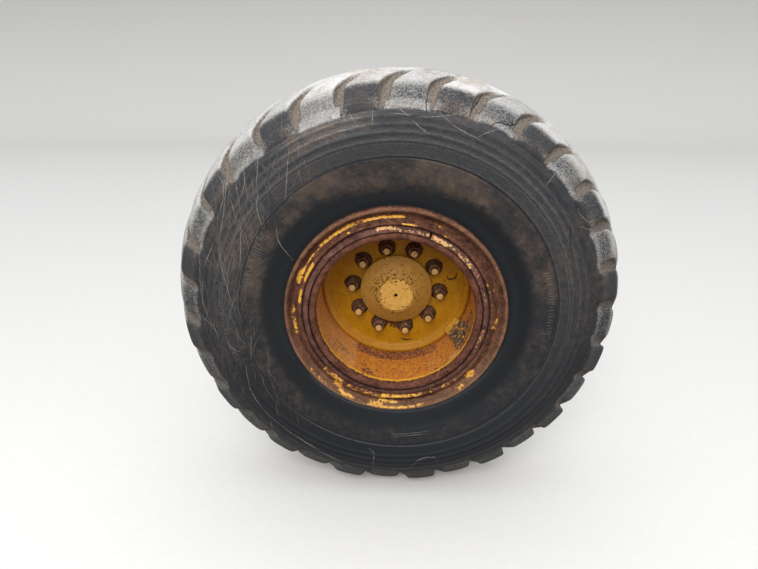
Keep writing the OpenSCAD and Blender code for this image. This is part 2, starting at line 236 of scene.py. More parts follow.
def made_rubber():
    """Moulded tyre rubber under dust and dirt, which take the eye before the rubber does."""
    material, tree = new_material("aged_tyre_rubber")
    place, streaks = wheel_space(tree)
    groove, pale, brown, film = (add(tree, "Attribute", attribute_name=key).outputs["Fac"]
                                 for key in ("groove", "pale", "brown", "film"))
    cloud = add(tree, "TexNoise", {
        "Vector": place, "Scale": per_metre(STAIN), "Detail": 8.0, "Roughness": 0.68})
    grain = add(tree, "TexNoise", {
        "Vector": place, "Scale": per_metre(CLOD), "Detail": 5.0, "Roughness": 0.75})
    ring = add(tree, "TexNoise", {
        "Vector": streaks, "Scale": per_metre(WIPE) / STREAK, "Detail": 8.0, "Roughness": 0.75})
    pores = add(tree, "TexNoise", {"Vector": place, "Scale": per_metre(PORE), "Detail": 3.0})
    patch = add(tree, "TexNoise", {
        "Vector": place, "Scale": per_metre(MUD_PATCH), "Detail": 7.0, "Roughness": 0.7})
    rubber = add(tree, "Mix", {0: grain, 6: colour("#090C10"), 7: colour("#24282D")}, data_type="RGBA")
    # brown dirt lies in stains, with its edge broken into patches of mud
    spread = add(tree, "Math", {0: ring, 1: 0.5, 2: cloud}, operation="MULTIPLY_ADD")
    spread = add(tree, "MapRange", {0: spread, 1: 0.66, 2: 0.86, 3: 0.12, 4: 1.1})
    patch = add(tree, "MapRange", {0: patch, 1: 0.35, 2: 0.65, 3: -1.8, 4: 1.8})
    part = add(tree, "Math", {0: 1.0, 1: brown}, operation="SUBTRACT")
    part = add(tree, "Math", {0: part, 1: brown}, operation="MULTIPLY")
    ragged = add(tree, "Math", {0: patch, 1: part, 2: brown}, operation="MULTIPLY_ADD", use_clamp=True)
    share = add(tree, "Math", {0: spread, 1: ragged}, operation="MULTIPLY", use_clamp=True)
    wall = add(tree, "Mix", {0: share, 6: rubber, 7: colour("#51443A")}, data_type="RGBA")
    # clods packed in the grooves
    clod = add(tree, "MapRange", {0: grain, 1: 0.4, 2: 0.6})
    packed = add(tree, "Mix", {0: clod, 6: colour("#4E4437"), 7: colour("#84776A")}, data_type="RGBA")
    filled = add(tree, "Mix", {0: groove, 6: wall, 7: packed}, data_type="RGBA")
    # the even film, wiped round the wheel in fine streaks
    fine = add(tree, "Math", {0: ring, 1: grain}, operation="ADD")
    fine = add(tree, "MapRange", {0: fine, 1: 0.8, 2: 1.2, 3: 0.25, 4: 1.75})
    veil = add(tree, "Math", {0: fine, 1: film}, operation="MULTIPLY", use_clamp=True)
    film_tone = add(tree, "Mix", {0: share, 6: colour("#A4A3A1"), 7: colour("#AE9A87")}, data_type="RGBA")
    filmed = add(tree, "Mix", {0: veil, 6: filled, 7: film_tone}, data_type="RGBA")
    # a film below zero darkens the rubber: painted shade, and beside the rim's lip also rubber wiped clean
    clean_and_shaded = add(tree, "MapRange", {0: film, 1: -1.0, 2: 0.0})
    filmed = add(tree, "VectorMath", {0: filmed, "Scale": clean_and_shaded}, operation="SCALE")
    # pale dust on the lugs, with painted light from above in its share, which shows the rubber between its
    # grains
    speckle = add(tree, "MapRange", {0: grain, 1: 0.36, 2: 0.64, 3: -0.14, 4: 0.14})
    lift = add(tree, "Math", {0: speckle, 1: pale}, operation="ADD")
    lift = add(tree, "Math", {0: cloud, 1: 0.4, 2: lift}, operation="MULTIPLY_ADD")
    bright = add(tree, "MapRange", {0: lift, 1: 0.36, 2: 0.98})
    pale_shows = add(tree, "MapRange", {0: pale, 1: 0.0, 2: 0.1})
    bright = add(tree, "Math", {0: bright, 1: pale_shows}, operation="MULTIPLY")
    stained = add(tree, "MapRange", {0: spread, 1: 0.4, 2: 1.1, 3: 0.0, 4: 0.75})
    dust_and_light = add(tree, "Mix", {0: stained, 6: colour("#D2CFC9"), 7: colour("#9E9280")}, data_type="RGBA")
    dusted = add(tree, "Mix", {0: bright, 6: filmed, 7: dust_and_light}, data_type="RGBA")
    # perished rubber is rough, and its pores and streaks can be felt
    relief = add(tree, "Math", {0: grain, 1: pores}, operation="ADD")
    relief = add(tree, "Math", {0: ring, 1: 1.6, 2: relief}, operation="MULTIPLY_ADD")
    bump = add(tree, "Bump", {"Height": relief, "Distance": RUBBER_RELIEF * MM, "Strength": 0.6})
    rough = add(tree, "MapRange", {0: grain, 1: 0.3, 2: 0.7, 3: 0.62, 4: 0.9})
    return finished(material, {
        "Base Color": dusted, "Normal": bump, "Roughness": rough, "Specular IOR Level": 0.35})


rubber = made_rubber()

# %% [markdown]
# ## The tyre
# The section is a long arc for the lower wall, a near circle for shoulder and belly, and a flatter
# arc where the road has worn the crown. Lugs stand on that circle and are parted by grooves that
# leave the shoulder almost straight and then swing across. Long and short lugs take turns.
# Cutting grooves with booleans would leave sharp, uneven faces. Instead the height of the rubber is
# one formula of place, so groove walls and worn edges come out soft on an even grid.

# %% section of the tyre
SECTION_R = 174.0
BULGE_R = 512.0
SIDEWALL_ARC = 500.0
CROWN_ARC = 330.0
# the middle of the lugs' slope, as a turn from the crown about the section's centre
TILT = math.radians(38)
LUGS = 32
PITCH = 360 / LUGS
GROOVE_ANGLE = 1.95
GROOVE_W = 32.0
GROOVE_DEPTH = 17.0
FOOT_TURN = 69.0
# turns from the crown in degrees, and how far a lug stands over the section circle there, in mm
LONG_LUG = (
    (0, 0), (22, 0), (33, 5), (41, 11), (44, 11.5), (53, 8), (60, 6.5), (63, 4), (65, 0), (69, 0))
SHORT_LUG = (
    (0, 0), (22, 0), (32, 3.5), (39, 5), (43, 3), (50, -3), (55, -6), (61, -6), (65, -2), (67, 0), (69, 0))
# where the two halves of the mould met, and the wall inside stands a little prouder, in mm
SEAM = 466.0
SEAM_W = 2.4
SEAM_DEPTH = 2.6
INSIDE_PROUD = 1.8
FIRST_LINE = 502.0
# the moulded rings: radius, width and height in mm
RIDGES = ((510, 5, 2.6), (531, 5, 3.2), (551, 5, 2.8), (572, 6, 3.2), (583, 3, 1.2))
print("a lug and its groove take", round(math.radians(PITCH) * CROWN_R), "mm of the crown")


def ridge_height(radius):
    """Height in mm of the moulded rings and the seam on the wall, at a radius."""
    height = sum(size * hump(radius, place, width) for place, width, size in RIDGES)
    inside = INSIDE_PROUD / (1 + np.exp((radius - SEAM) / 1.5))
    return height - SEAM_DEPTH * hump(radius, SEAM, SEAM_W) + inside


def section_row(turn):
    """Radius and eta of the section circle, clipped by the worn crown, at a turn in radians."""
    radius, eta = BULGE_R + SECTION_R * math.cos(turn), SECTION_R * math.sin(turn)
    reach = CROWN_R - CROWN_ARC
    if (radius - reach) ** 2 + eta**2 > CROWN_ARC**2:
        psi = math.asin(eta / CROWN_ARC)
        return reach + CROWN_ARC * math.cos(psi), CROWN_ARC * math.sin(psi)
    return radius, eta


# %% [markdown]
# ## Where dust and painted light lie on a tyre
# A parked tyre is dusty on top and clean below, and the same shares paint light from above, so its
# top is lighter and its bottom darker. Its wall is palest on the crests of its rings, brown inside
# the seam, and dark where the rim's lip shelters it, partly wiped clean and partly painted shade. A
# kerb has scuffed it at the top left.
# A painted mask would do, but such a picture would hold the photograph's pixels, so each habit of
# the dust and of the painted light is one line of sums here, in the wheel's own millimetres and degrees.

# %% dust on the wall
def settled_dust_and_top_light(angle):
    """Share of dust and of painted light from above at a wheel angle: most on top of the wheel, least
    below.
    """
    return 0.18 + 0.82 * smooth(-0.8, 1.0, upward(angle)) ** 0.9


def scuffed(angle):
    """Share of scuffing: a pale brown band lies round the wheel's top left."""
    return between(angle % 360, 93, 103, 108, 134)


def crests(radius):
    """Share of the rings' crests, which catch the dust a millimetre above their middles."""
    return sum(hump(radius, place + 1, 3.4) for place, *_ in RIDGES)


def stain_edge(angle):
    """Radius in mm of the stain's edge, which sways about the seam."""
    return SEAM + 6 * rightward(angle)


def wall_dust_light_and_shade(radius, angle):
    """Film on the wall at a radius in mm and an angle: pale dust, with a painted highlight on the seam's
    lip at the bottom; below zero it is painted shade, beside the rim's lip also rubber wiped clean.
    """
    edge, up, across = stain_edge(angle), upward(angle), rightward(angle)
    low, crest = smooth(-0.2, -1, up), crests(radius)
    # the outer wall and its rings, less near the lugs, and less below, partly as painted shade
    outside = 0.05 * smooth(edge + 1.5, edge + 4.5, radius) + 0.075 * crest
    film = 0.01 + outside * (1 - 0.7 * smooth(530, 572, radius))
    film = film * (0.05 + 0.95 * smooth(-1, 0.9, up))
    # a line outside the seam, doubled at the bottom as a painted highlight on its lip, one inside the first
    # ring, and at the bottom a strip beside the rim
    film = film + hump(radius, edge + 4, 2.8) * (0.05 + 0.05 * low)
    film = film + 0.07 * hump(radius, FIRST_LINE, 1.7) * smooth(-0.9, 0.5, up)
    film = film * smooth(340, 400, radius) + 0.09 * smooth(374, 348, radius) * low
    # the shoulder at the top and at the bottom, then the dark seam and the scuffed band
    film = film + smooth(545, 578, radius) * (0.05 * smooth(0.75, 1, up) + 0.06 * low)
    film = film * smooth(1.2, 2.6, np.abs(radius - edge))
    film = film + scuffed(angle) * smooth(532, 543, radius) * (0.06 + 0.2 * crest)
    # darker: a ring beside the rim, most at the right, partly rubber wiped clean and partly painted shade,
    # and painted shade at the lower left
    wiped_and_shaded = 0.15 + 0.4 * smooth(-0.1, 0.75, across) + 0.2 * smooth(0.1, -0.8, across)
    film = film - between(radius, 350, 372, 386, 410) * wiped_and_shaded
    low_left_shade = between(angle % 360, 190, 215, 255, 285) * smooth(535, 510, radius)
    return film - 0.17 * low_left_shade * smooth(0.06, 0.02, film)


def wall_brown(radius, angle):
    """Brown dirt on the wall at a radius in mm and an angle in degrees."""
    edge, across = stain_edge(angle), rightward(angle)
    left = smooth(0.1, 0.9, -across)
    # inside the seam the stain starts nearer to the rim at the top of the wheel
    start = 386 - 24 * smooth(0.75, 1, upward(angle))
    brown = smooth(start, start + 38, radius) * smooth(edge + 1, edge - 2, radius) * (0.7 + 0.3 * left)
    outer = 0.1 + 0.05 * smooth(495, 575, radius) + 0.22 * left * smooth(530, 508, radius)
    outer = outer + 0.2 * smooth(0.6, 0.97, np.abs(across))
    brown = brown + outer * smooth(edge, edge + 6, radius)
    brown = brown * smooth(1.2, 2.6, np.abs(radius - edge))
    brown = brown + 0.9 * scuffed(angle) * smooth(532, 543, radius)
    # brown dirt, weaker below, partly as painted light from above
    return brown * (0.1 + 0.9 * settled_dust_and_top_light(angle))


# shares of dust and of painted light from above
print("dust that stays on top, at the side, below:", [round(float(settled_dust_and_top_light(a)), 2) for a in (90, 0, 270)])

# %% [markdown]
# ## The lugs
# Each row of points runs round the whole wheel at one turn of the section. Within a lug the points
# crowd where the groove's wall is steep. The groove's floor and the lug's top are two heights, and
# the lower one wins with a soft blend, which rounds the groove as a mould does. A displacement
# texture could press the grooves in as well, but it would smear their steep walls. Each lug is worn
# and dusted a little differently.

# %% lug shape
# places across a lug, from its groove's middle to its own
NEAR = (0, 0.03, 0.06, 0.08, 0.095, 0.11, 0.125, 0.14, 0.155, 0.175, 0.2, 0.235, 0.28, 0.33, 0.39, 0.45)
ACROSS = np.array(NEAR + (0.5,) + tuple(1 - place for place in NEAR[:0:-1]))
TURNS = np.concatenate((np.linspace(FOOT_TURN, 30, 48), np.linspace(28.6, 0, 20)))
# a groove's slope at the shoulder and what the swing adds, the length of its bend and its start in mm
SHOULDER_SLOPE = 0.1
SWING_SLOPE = 0.75
BEND_LENGTH = 8.0
GROOVE_START = -10.0
# how far worn edges are rounded off and over what length, and how softly wall and top meet, in mm
EDGE_WEAR = 4.2
EDGE_LENGTH = 6.5
SOFT = 5.0
LUG = np.repeat(np.arange(LUGS), len(ACROSS))
LONG = LUG % 2 == 0
SHARE = np.tile(ACROSS, LUGS)
TO_GROOVE = np.minimum(SHARE, 1 - SHARE)
print(len(TURNS), "rows of", len(SHARE), "points for each half of the tread")


def groove_path(turn):
    """How far in mm the groove's middle has swung clockwise at a turn in radians."""
    along = (TILT - turn) * SECTION_R
    bend = BEND_LENGTH * math.log1p(math.exp(along / BEND_LENGTH))
    return GROOVE_START + SHOULDER_SLOPE * along + SWING_SLOPE * bend


def off_groove(turn, radius):
    """Distance in mm of each point of a row from the middle of its groove."""
    swing = SWING_SLOPE / (1 + math.exp((turn - TILT) * SECTION_R / BEND_LENGTH))
    slant = math.cos(math.atan(SHOULDER_SLOPE + swing))
    return TO_GROOVE * (math.radians(PITCH) * radius) * slant


def lug_row(degrees, wear):
    """One row: radius, eta and swing in degrees of its points, the groove's drop and distance in mm."""
    turn = math.radians(degrees)
    radius, eta = section_row(turn)
    long_out, short_out = (np.interp(degrees, *zip(*outline)) for outline in (LONG_LUG, SHORT_LUG))
    outward = np.where(LONG, long_out, short_out) + wear[LUG] * between(degrees, 6, 18, 58, 66)
    opened = smooth(8, 15, degrees)
    away = off_groove(turn, radius)
    middle = BULGE_R + SECTION_R * math.cos(TILT), SECTION_R * math.sin(TILT)
    base = (radius - middle[0]) * math.cos(TILT) + (eta - middle[1]) * math.sin(TILT)
    level = base + outward * math.cos(turn - TILT)
    worn = EDGE_WEAR * np.exp(-np.maximum(away - GROOVE_W / 2, 0) / EDGE_LENGTH)
    face = level - worn * smooth(67, 60, degrees) * opened
    wall = np.clip((away - 0.3 * GROOVE_W) / (0.24 * GROOVE_W), 0, 1.6)
    floor = -GROOVE_DEPTH + (GROOVE_DEPTH + 6) * wall**1.7 + (1 - opened) * 40
    blend = np.clip(0.5 + 0.5 * (floor - face) / SOFT, 0, 1)
    height = floor * (1 - blend) + face * blend - SOFT * blend * (1 - blend)
    drop = np.maximum(level - height, 0)
    outward = outward + (ridge_height(radius) if degrees > 66 else 0)
    lug_radius = radius + outward * math.cos(turn) - drop * math.cos(TILT)
    lug_eta = eta + outward * math.sin(turn) - drop * math.sin(TILT)
    return lug_radius, lug_eta, math.degrees(groove_path(turn) / radius), drop, away


def lug_dust_and_light(degrees, radius, angle, drop, away, shade):
    """Point values of one row, which run over into the wall's at the lugs' feet."""
    dust_and_light_share = settled_dust_and_top_light(angle)
    cut = smooth(2, 12, drop)
    face = smooth(36, 46, degrees)
    ledge = between(degrees, 52, 57, 65, 68.5)
    mouth = smooth(0.42, 0.1, TO_GROOVE)
    edge = 0.08 * np.exp(-np.maximum(away - GROOVE_W / 2, 0) / 5) * (1 - cut)
    pale = np.where(LONG, 0.74 - 0.62 * face, 0.7 - 0.36 * face) + shade[LUG] * (1 - 0.4 * face) + edge
    pale = pale + np.where(LONG, 0.12 * mouth, 0.12) * ledge
    pale = pale + 0.14 * (1 - face) * smooth(0.5, 0.95, np.abs(rightward(angle)))
    # pale dust, less in the grooves and at the left; lighter on top and darker below, partly as painted
    # light from above
    pale = pale * (1 - 0.85 * cut) * (0.25 + 0.75 * dust_and_light_share) * (1 - 0.2 * smooth(0.1, 0.6, -rightward(angle)))
    lower = 3.5 * between(angle % 360, 66, 78, 124, 136) + 2.5 * scuffed(angle)
    foot = smooth(58 + lower, 63.5 + lower, degrees)
    film = 0.07 + 0.09 * smooth(0.1, -0.9, upward(angle))
    return {"groove": cut * (1 - foot) * (0.35 + 0.65 * dust_and_light_share),
            "pale": pale * (1 - foot),
            "film": film * (1 - foot) + wall_dust_light_and_shade(radius, angle) * foot,
            "brown": (0.15 + 0.5 * ledge) * dust_and_light_share * (1 - foot) + wall_brown(radius, angle) * foot}


# %% tread
def tread(side, name):
    """The lugged half of the tread: side -1 is the outer one, 1 the inner one."""
    wear = chance.uniform(-1.5, 1.0, LUGS)
    shade = chance.uniform(-0.14, 0.1, LUGS)
    stagger = 0 if side < 0 else 0.5
    rows, dust_and_light = [], []
    for degrees in TURNS:
        radius, eta, swing, drop, away = lug_row(degrees, wear)
        angle = GROOVE_ANGLE + (LUG + SHARE + stagger) * PITCH - swing
        rows.append(from_wheel(radius, angle, HALF_WIDTH + side * eta))
        dust_and_light.append(lug_dust_and_light(degrees, radius, angle, drop, away, shade))
    values = {key: np.stack([row[key] for row in dust_and_light]) for key in dust_and_light[0]}
    return mesh_piece(name, np.stack(rows), grid_faces(len(TURNS), len(SHARE)), "wheel", rubber, values)


tread_pieces = [tread(-1, "tread_outer"), tread(1, "tread_inner")]

# %% [markdown]
# ## The walls
# A sidewall is thin rubber over cords, moulded smooth but for a few raised rings. It could share one
# mesh with the tread, but it needs fewer points round the wheel and more rows, where the seam and
# the rings are only millimetres wide. So it is a piece of its own, whose top row meets the feet of
# the lugs and whose lowest row is tucked in behind the rim's lip.

# %% walls
def wall_row(radius):
    """Eta and outward normal (radial, eta) of the plain wall at a radius."""
    radius = np.asarray(radius, float)
    low = np.sqrt(SIDEWALL_ARC**2 - (radius - BULGE_R) ** 2) - (SIDEWALL_ARC - SECTION_R)
    high = np.sqrt(np.maximum(SECTION_R**2 - (radius - BULGE_R) ** 2, 1))
    eta = np.where(radius < BULGE_R, low, high)
    centre = np.where(radius < BULGE_R, SIDEWALL_ARC - SECTION_R, 0)
    fall = (radius - BULGE_R) / (eta + centre)
    size = np.hypot(fall, 1)
    return eta, fall / size, 1 / size


def wall_place(radius, angle, side):
    """Points in metres on the moulded wall."""
    eta, radial, axial = wall_row(radius)
    height = ridge_height(radius)
    return from_wheel(radius + height * radial, angle, HALF_WIDTH + side * (eta + height * axial))


def sidewall(side, name, columns, rows):
    """The smooth wall from inside the rim's lip up to the lugs' feet, finest at its two sharp lines."""
    foot = BULGE_R + SECTION_R * math.cos(math.radians(FOOT_TURN))
    seam_rows = np.arange(SEAM - 9, SEAM + 10, 1.0)
    line_rows = np.arange(FIRST_LINE - 5, FIRST_LINE + 6, 1.4)
    even_rows = np.linspace(FLANGE_R + 1.2, foot, rows - len(seam_rows) - len(line_rows))
    radius = np.sort(np.concatenate((even_rows, seam_rows, line_rows)))[:, None]
    angle = np.arange(columns)[None, :] * 360 / columns
    tucked = from_wheel(FLANGE_R - 7, angle, HALF_WIDTH + side * (HALF_WIDTH - 30))
    points = np.concatenate((tucked, wall_place(radius, angle, side)))
    radius = np.concatenate(([[FLANGE_R]], radius)) * np.ones_like(angle)
    values = {"groove": 0 * radius, "pale": 0 * radius,
              "film": wall_dust_light_and_shade(radius, angle), "brown": wall_brown(radius, angle)}
    return mesh_piece(name, points, grid_faces(rows + 1, columns), "wheel", rubber, values)


wall_pieces = [sidewall(-1, "sidewall_outer", 640, 106), sidewall(1, "sidewall_inner", 360, 80)]
tyre_pieces = tread_pieces + wall_pieces
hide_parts("tyre")

# %% [markdown]
# ## The camera
# The camera was fitted to the rim's rings and the ten studs, whose circle has a known size. It comes
# before the scratches, because they are laid along its rays.

# %% camera
PHOTO_WIDTH, PHOTO_HEIGHT = 758, 569
FOCAL_PX = 555.0
CAMERA_PLACE = (0.01147, -1.90502, 0.72674)
LOOKS_DOWN = 23.02
LOOKS_LEFT = 2.32
camera_data = bpy.data.cameras.new("photo_camera")
camera_data.sensor_width = 36
camera_data.lens = 36 * FOCAL_PX / PHOTO_WIDTH
camera = bpy.data.objects.new("photo_camera", camera_data)
bpy.context.scene.collection.objects.link(camera)
camera.location = CAMERA_PLACE
camera.rotation_euler = (math.radians(90 - LOOKS_DOWN), 0, math.radians(LOOKS_LEFT))
bpy.context.scene.camera = camera
print("lens", round(camera_data.lens, 2), "mm")


def seen_ray(pixel):
    """A ray from the camera through a pixel of the photograph."""
    x, y = (pixel[0] - PHOTO_WIDTH / 2) / FOCAL_PX, (PHOTO_HEIGHT / 2 - pixel[1]) / FOCAL_PX
    return camera.location, camera.rotation_euler.to_matrix() @ Vector((x, y, -1))


def side_ray(place):
    """A ray straight at the wheel's outer side, at a place x and z in mm."""
    return Vector((place[0] * MM, -1, place[1] * MM)), Vector((0, 1, 0))


# %% [markdown]
# ## Scratches, cracks and blank panels
# Stones and brush leave thin pale lines on a tyre, and age opens dark cracks. Each line is traced on
# the photograph as a few pixels. A ray goes from the camera through each pixel to the tyre, and a
# ribbon about a millimetre wide is laid along the places it meets. A line could also be drawn in
# the material, but that needs a mask as fine as the line. Real faces stay sharp and in place from
# every side.

# %% ribbons
# how far a ribbon lies above its surface
LIFT = 0.35 * MM


def surface_of(pieces):
    """A search tree over the faces of some pieces, for rays."""
    points, faces = [], []
    for piece in pieces:
        start = len(points)
        points += [vertex.co.copy() for vertex in piece.data.vertices]
        faces += [[start + i for i in face.vertices] for face in piece.data.polygons]
    return BVHTree.FromPolygons(points, faces)


outer_tyre = surface_of((tyre_pieces[0], tyre_pieces[2]))
print("pixel 250, 250 meets the tyre at", outer_tyre.ray_cast(*seen_ray((250, 250)))[0])


def laid_line(path, ray, width, jitter, step, surface):
    """Edge points of a ribbon along a path of places, each met by its ray; None where one misses."""
    path = np.array(path, float)
    for _ in range(2):
        near, far = path[:-1], path[1:]
        cut = np.stack((0.75 * near + 0.25 * far, 0.25 * near + 0.75 * far), 1).reshape(-1, 2)
        path = np.concatenate((path[:1], cut, path[-1:]))
    reach = np.concatenate(([0], np.cumsum(np.hypot(*np.diff(path, axis=0).T))))
    count = max(5, int(reach[-1] / step))
    t = np.linspace(0, 1, count)
    path = np.stack([np.interp(t * reach[-1], reach, path[:, k]) for k in (0, 1)], -1)
    rays = [ray(place) for place in path + chance.normal(0, jitter, path.shape)]
    hits = [surface.ray_cast(*one) for one in rays]
    if any(hit[0] is None for hit in hits):
        return None
    middle, normal = (np.array([hit[k] for hit in hits]) for k in (0, 1))
    normal *= -np.sign((normal * np.array([one[1] for one in rays])).sum(1))[:, None]
    side = np.cross(normal, np.gradient(middle, axis=0))
    side /= np.linalg.norm(side, axis=1)[:, None]
    swell = np.sin(math.pi * np.clip(t, 0.05, 0.95)) ** 0.5
    half = (width / 2 * MM * swell * chance.uniform(0.5, 1.3, count))[:, None]
    return np.stack((middle - half * side, middle + half * side), 1) + LIFT * normal[:, None]


def ribbons(name, paths, ray, width, material, jitter=0.18, step=1.5, surface=outer_tyre):
    """One piece of thin ribbons on a surface; jitter and step are in pixels or in mm, as the ray is."""
    points, faces, start = [], [], 0
    for path in paths:
        line = laid_line(path, ray, width, jitter, step, surface)
        if line is None:
            continue
        points.append(line.reshape(-1, 3))
        firsts = range(start, start + 2 * len(line) - 2, 2)
        faces += [(i, i + 1, i + 3, i + 2) for i in firsts]
        start += 2 * len(line)
    return mesh_piece(name, np.concatenate(points), faces, "wheel", material)


# %% [markdown]
# ## What scratches and cracks look like
# Torn rubber scatters light and looks pale, and an open crack holds shadow. Each kind of line is a
# rough material of two near tones, which a noise mixes, because no scratch is even along its way.

# %% scuffed and cracked rubber
# real grit is far finer than this size in mm, the finest that shows
GRIT = 4.2


def made_grained(name, first, second):
    """A thin rough mark whose tone wanders between two colours, as torn rubber and rust do."""
    material, tree = new_material(name)
    place = add(tree, "TexCoord").outputs["Object"]
    grain = add(tree, "TexNoise", {"Vector": place, "Scale": per_metre(GRIT), "Detail": 4.0})
    tint = add(tree, "Mix", {0: grain, 6: colour(first), 7: colour(second)}, data_type="RGBA")
    return finished(material, {"Base Color": tint, "Roughness": 0.9})


# fresh scuffs are the palest, old ones are half filled with dirt, and cracks and the upper panel's edges
# are painted black with the shade they hold
pale_scratch = made_grained("pale_scuffed_rubber", "#565551", "#B4B1AA")
faint_scratch = made_grained("faint_scuffed_rubber", "#454543", "#8C8982")
crack_and_edge_shade = made_grained("crack_and_edge_shade_in_rubber", "#0E0F10", "#1A1A1B")

# %% [markdown]
# ## Lines that show one by one
# The long scratches and the cracks between lugs are what a viewer compares first, so these few are
# traced. A trace is only two to six pixels, and the ribbon's own smoothing bends it between them.

# %% lines traced on the photograph, in pixels
UPPER_LEFT_LINES = (
    ((289, 148), (287, 175), (285, 200)), ((276, 226), (278, 243), (293, 260)),
    ((261, 131), (258, 160), (256, 187)), ((231, 150), (226, 186), (222, 230), (218, 240)),
    ((235, 178), (240, 208)), ((230, 198), (236, 218)),
    ((218, 240), (220, 262), (231, 302), (236, 309)), ((214, 242), (204, 266)),
    ((242, 162), (246, 184), (236, 206)), ((258, 190), (256, 210), (264, 230)),
    ((241, 222), (240, 271)), ((214, 170), (226, 186), (218, 220)),
    ((228, 187), (216, 225), (204, 262)), ((200, 246), (200, 290), (208, 320), (218, 328)))
LOWER_LEFT_LINES = (
    ((198, 310), (207, 321), (217, 331), (219, 341)), ((226, 341), (234, 350), (240, 352)),
    ((251, 335), (251, 360)),
    ((246, 366), (249, 387), (257, 402), (271, 418), (303, 441), (334, 458)),
    ((201, 350), (213, 368)), ((271, 421), (273, 429)))
BOTTOM_LINES = (
    ((300, 437), (306, 444), (335, 459), (352, 467)), ((369, 448), (375, 453), (372, 467)),
    ((411, 468), (418, 460), (426, 457), (436, 457), (438, 463)))
TOP_LINES = (
    ((340, 112), (347, 123)), ((349, 112), (357, 127)), ((372, 110), (373, 125)),
    ((393, 104), (410, 117)), ((390, 113), (412, 115)),
    ((439, 112), (447, 120), (460, 130), (475, 137), (483, 142)), ((330, 118), (334, 121)),
    ((415, 117), (438, 117), (467, 112)), ((412, 120), (422, 129), (430, 134)),
    ((477, 137), (497, 129)))
RIGHT_LINES = (
    ((557, 171), (546, 186)), ((578, 208), (580, 215), (589, 223)), ((578, 226), (598, 232)))
CRACK_LINES = (
    ((427, 97), (426, 105), (427, 114)), ((429, 127), (427, 134)),
    ((482, 94), (478, 102), (472, 110)), ((490, 128), (497, 121), (505, 124), (513, 126), (520, 119)),
    ((524, 129), (523, 137)), ((571, 227), (570, 240), (572, 255)))
left_lines = UPPER_LEFT_LINES + LOWER_LEFT_LINES
ribbons("traced_scratches", left_lines + BOTTOM_LINES + TOP_LINES + RIGHT_LINES,
        seen_ray, width=1.15, material=pale_scratch)
ribbons("rubber_cracks", CRACK_LINES, seen_ray, width=3.6, material=crack_and_edge_shade, jitter=0.35)

# %% [markdown]
# ## The finest lines and the blank panels
# Between the long scratches lie hundreds of hair lines, too many to trace. A seeded family of short
# arcs stands for them, with places, headings and bends drawn at random about what such walls show.
# Where a soft tyre flexes, its rubber opens in a hatch of short cracks. Two moulded panels are blank
# and show only by their edges; the upper panel's edges are dark lines of painted shade.

# %% seeded fine scratches, flex cracks and the blank panels
FINE_SCRATCHES = 190


def at(angle, radius):
    """A place x and z in mm from an angle in degrees and a radius."""
    return radius * math.cos(math.radians(angle)), radius * math.sin(math.radians(angle))


family = []
for _ in range(FINE_SCRATCHES):
    x, z = at(chance.triangular(105, 150, 235), chance.uniform(440, 600))
    reach = chance.uniform(25, 130)
    heading = math.radians(chance.normal(96, 22))
    bend = chance.normal(0, 0.06) * reach
    middle = x + reach / 2 * math.cos(heading) + bend, z + reach / 2 * math.sin(heading)
    family.append(((x, z), middle, (x + reach * math.cos(heading), z + reach * math.sin(heading))))
ribbons("fine_scratches", family, side_ray, width=0.7, material=faint_scratch, jitter=0.25, step=6)
# the hatch of short cracks where a soft tyre flexes: degrees from and to, radius from and to in mm
FLEXED = (146, 170, 428, 456), (-6, 20, 440, 460), (176, 186, 505, 520)
flexed = []
for start, stop, low, high in FLEXED:
    for angle in np.arange(start, stop, 1.2):
        inner = at(angle, low + chance.uniform(-4, 6))
        flexed.append((inner, at(angle + chance.normal(0, 0.4), high + chance.uniform(-6, 4))))
ribbons("flex_cracks", flexed, side_ray, width=1.1, material=faint_scratch, jitter=0.2, step=6)
raised_edge = [(at(-91, 426), at(-82, 424), at(-74, 424)), (at(-90, 433), at(-82, 431), at(-75, 431))]
ribbons("bottom_panel_edges", raised_edge, side_ray, width=1.3, material=faint_scratch, jitter=0.15,
        step=6)
# the upper panel's edges are dark lines of painted shade
shaded_panel_edge = [(at(41.2, 352), at(44.9, 395)), (at(44.9, 395), at(40, 397), at(36, 398))]
ribbons("upper_panel_edge_shade", shaded_panel_edge, side_ray, width=1.4, material=crack_and_edge_shade, jitter=0.15, step=6)

# %% [markdown]
# ## Steel with rust and what is left of the paint
# A rim is rolled steel under yellow enamel. It loses its paint where the tyre is levered on and off,
# and rust takes over: a dark base, a lighter bloom and pits. The point value paint says how likely
# paint is, from 0 for none to 1 for whole, and noise of two sizes breaks its edge into flakes. A
# mask cut by hand would look drawn, and noise alone wouldn't lie where the levers went.
# Rust and paint are no bare metal, so metallic stays at zero, and both scatter light softly.

# %% rusted and painted steel
# sizes in mm; the grains of rust are finer in life, and drawn as coarse as they need to show
BLOOM = 27.8
FLAKE = 11.8
RING_MARK = 3.7
RUST_GRAIN = 2.2
RUST_RELIEF = 1.0
# how likely paint still is where it has faded most
FADED = 0.26


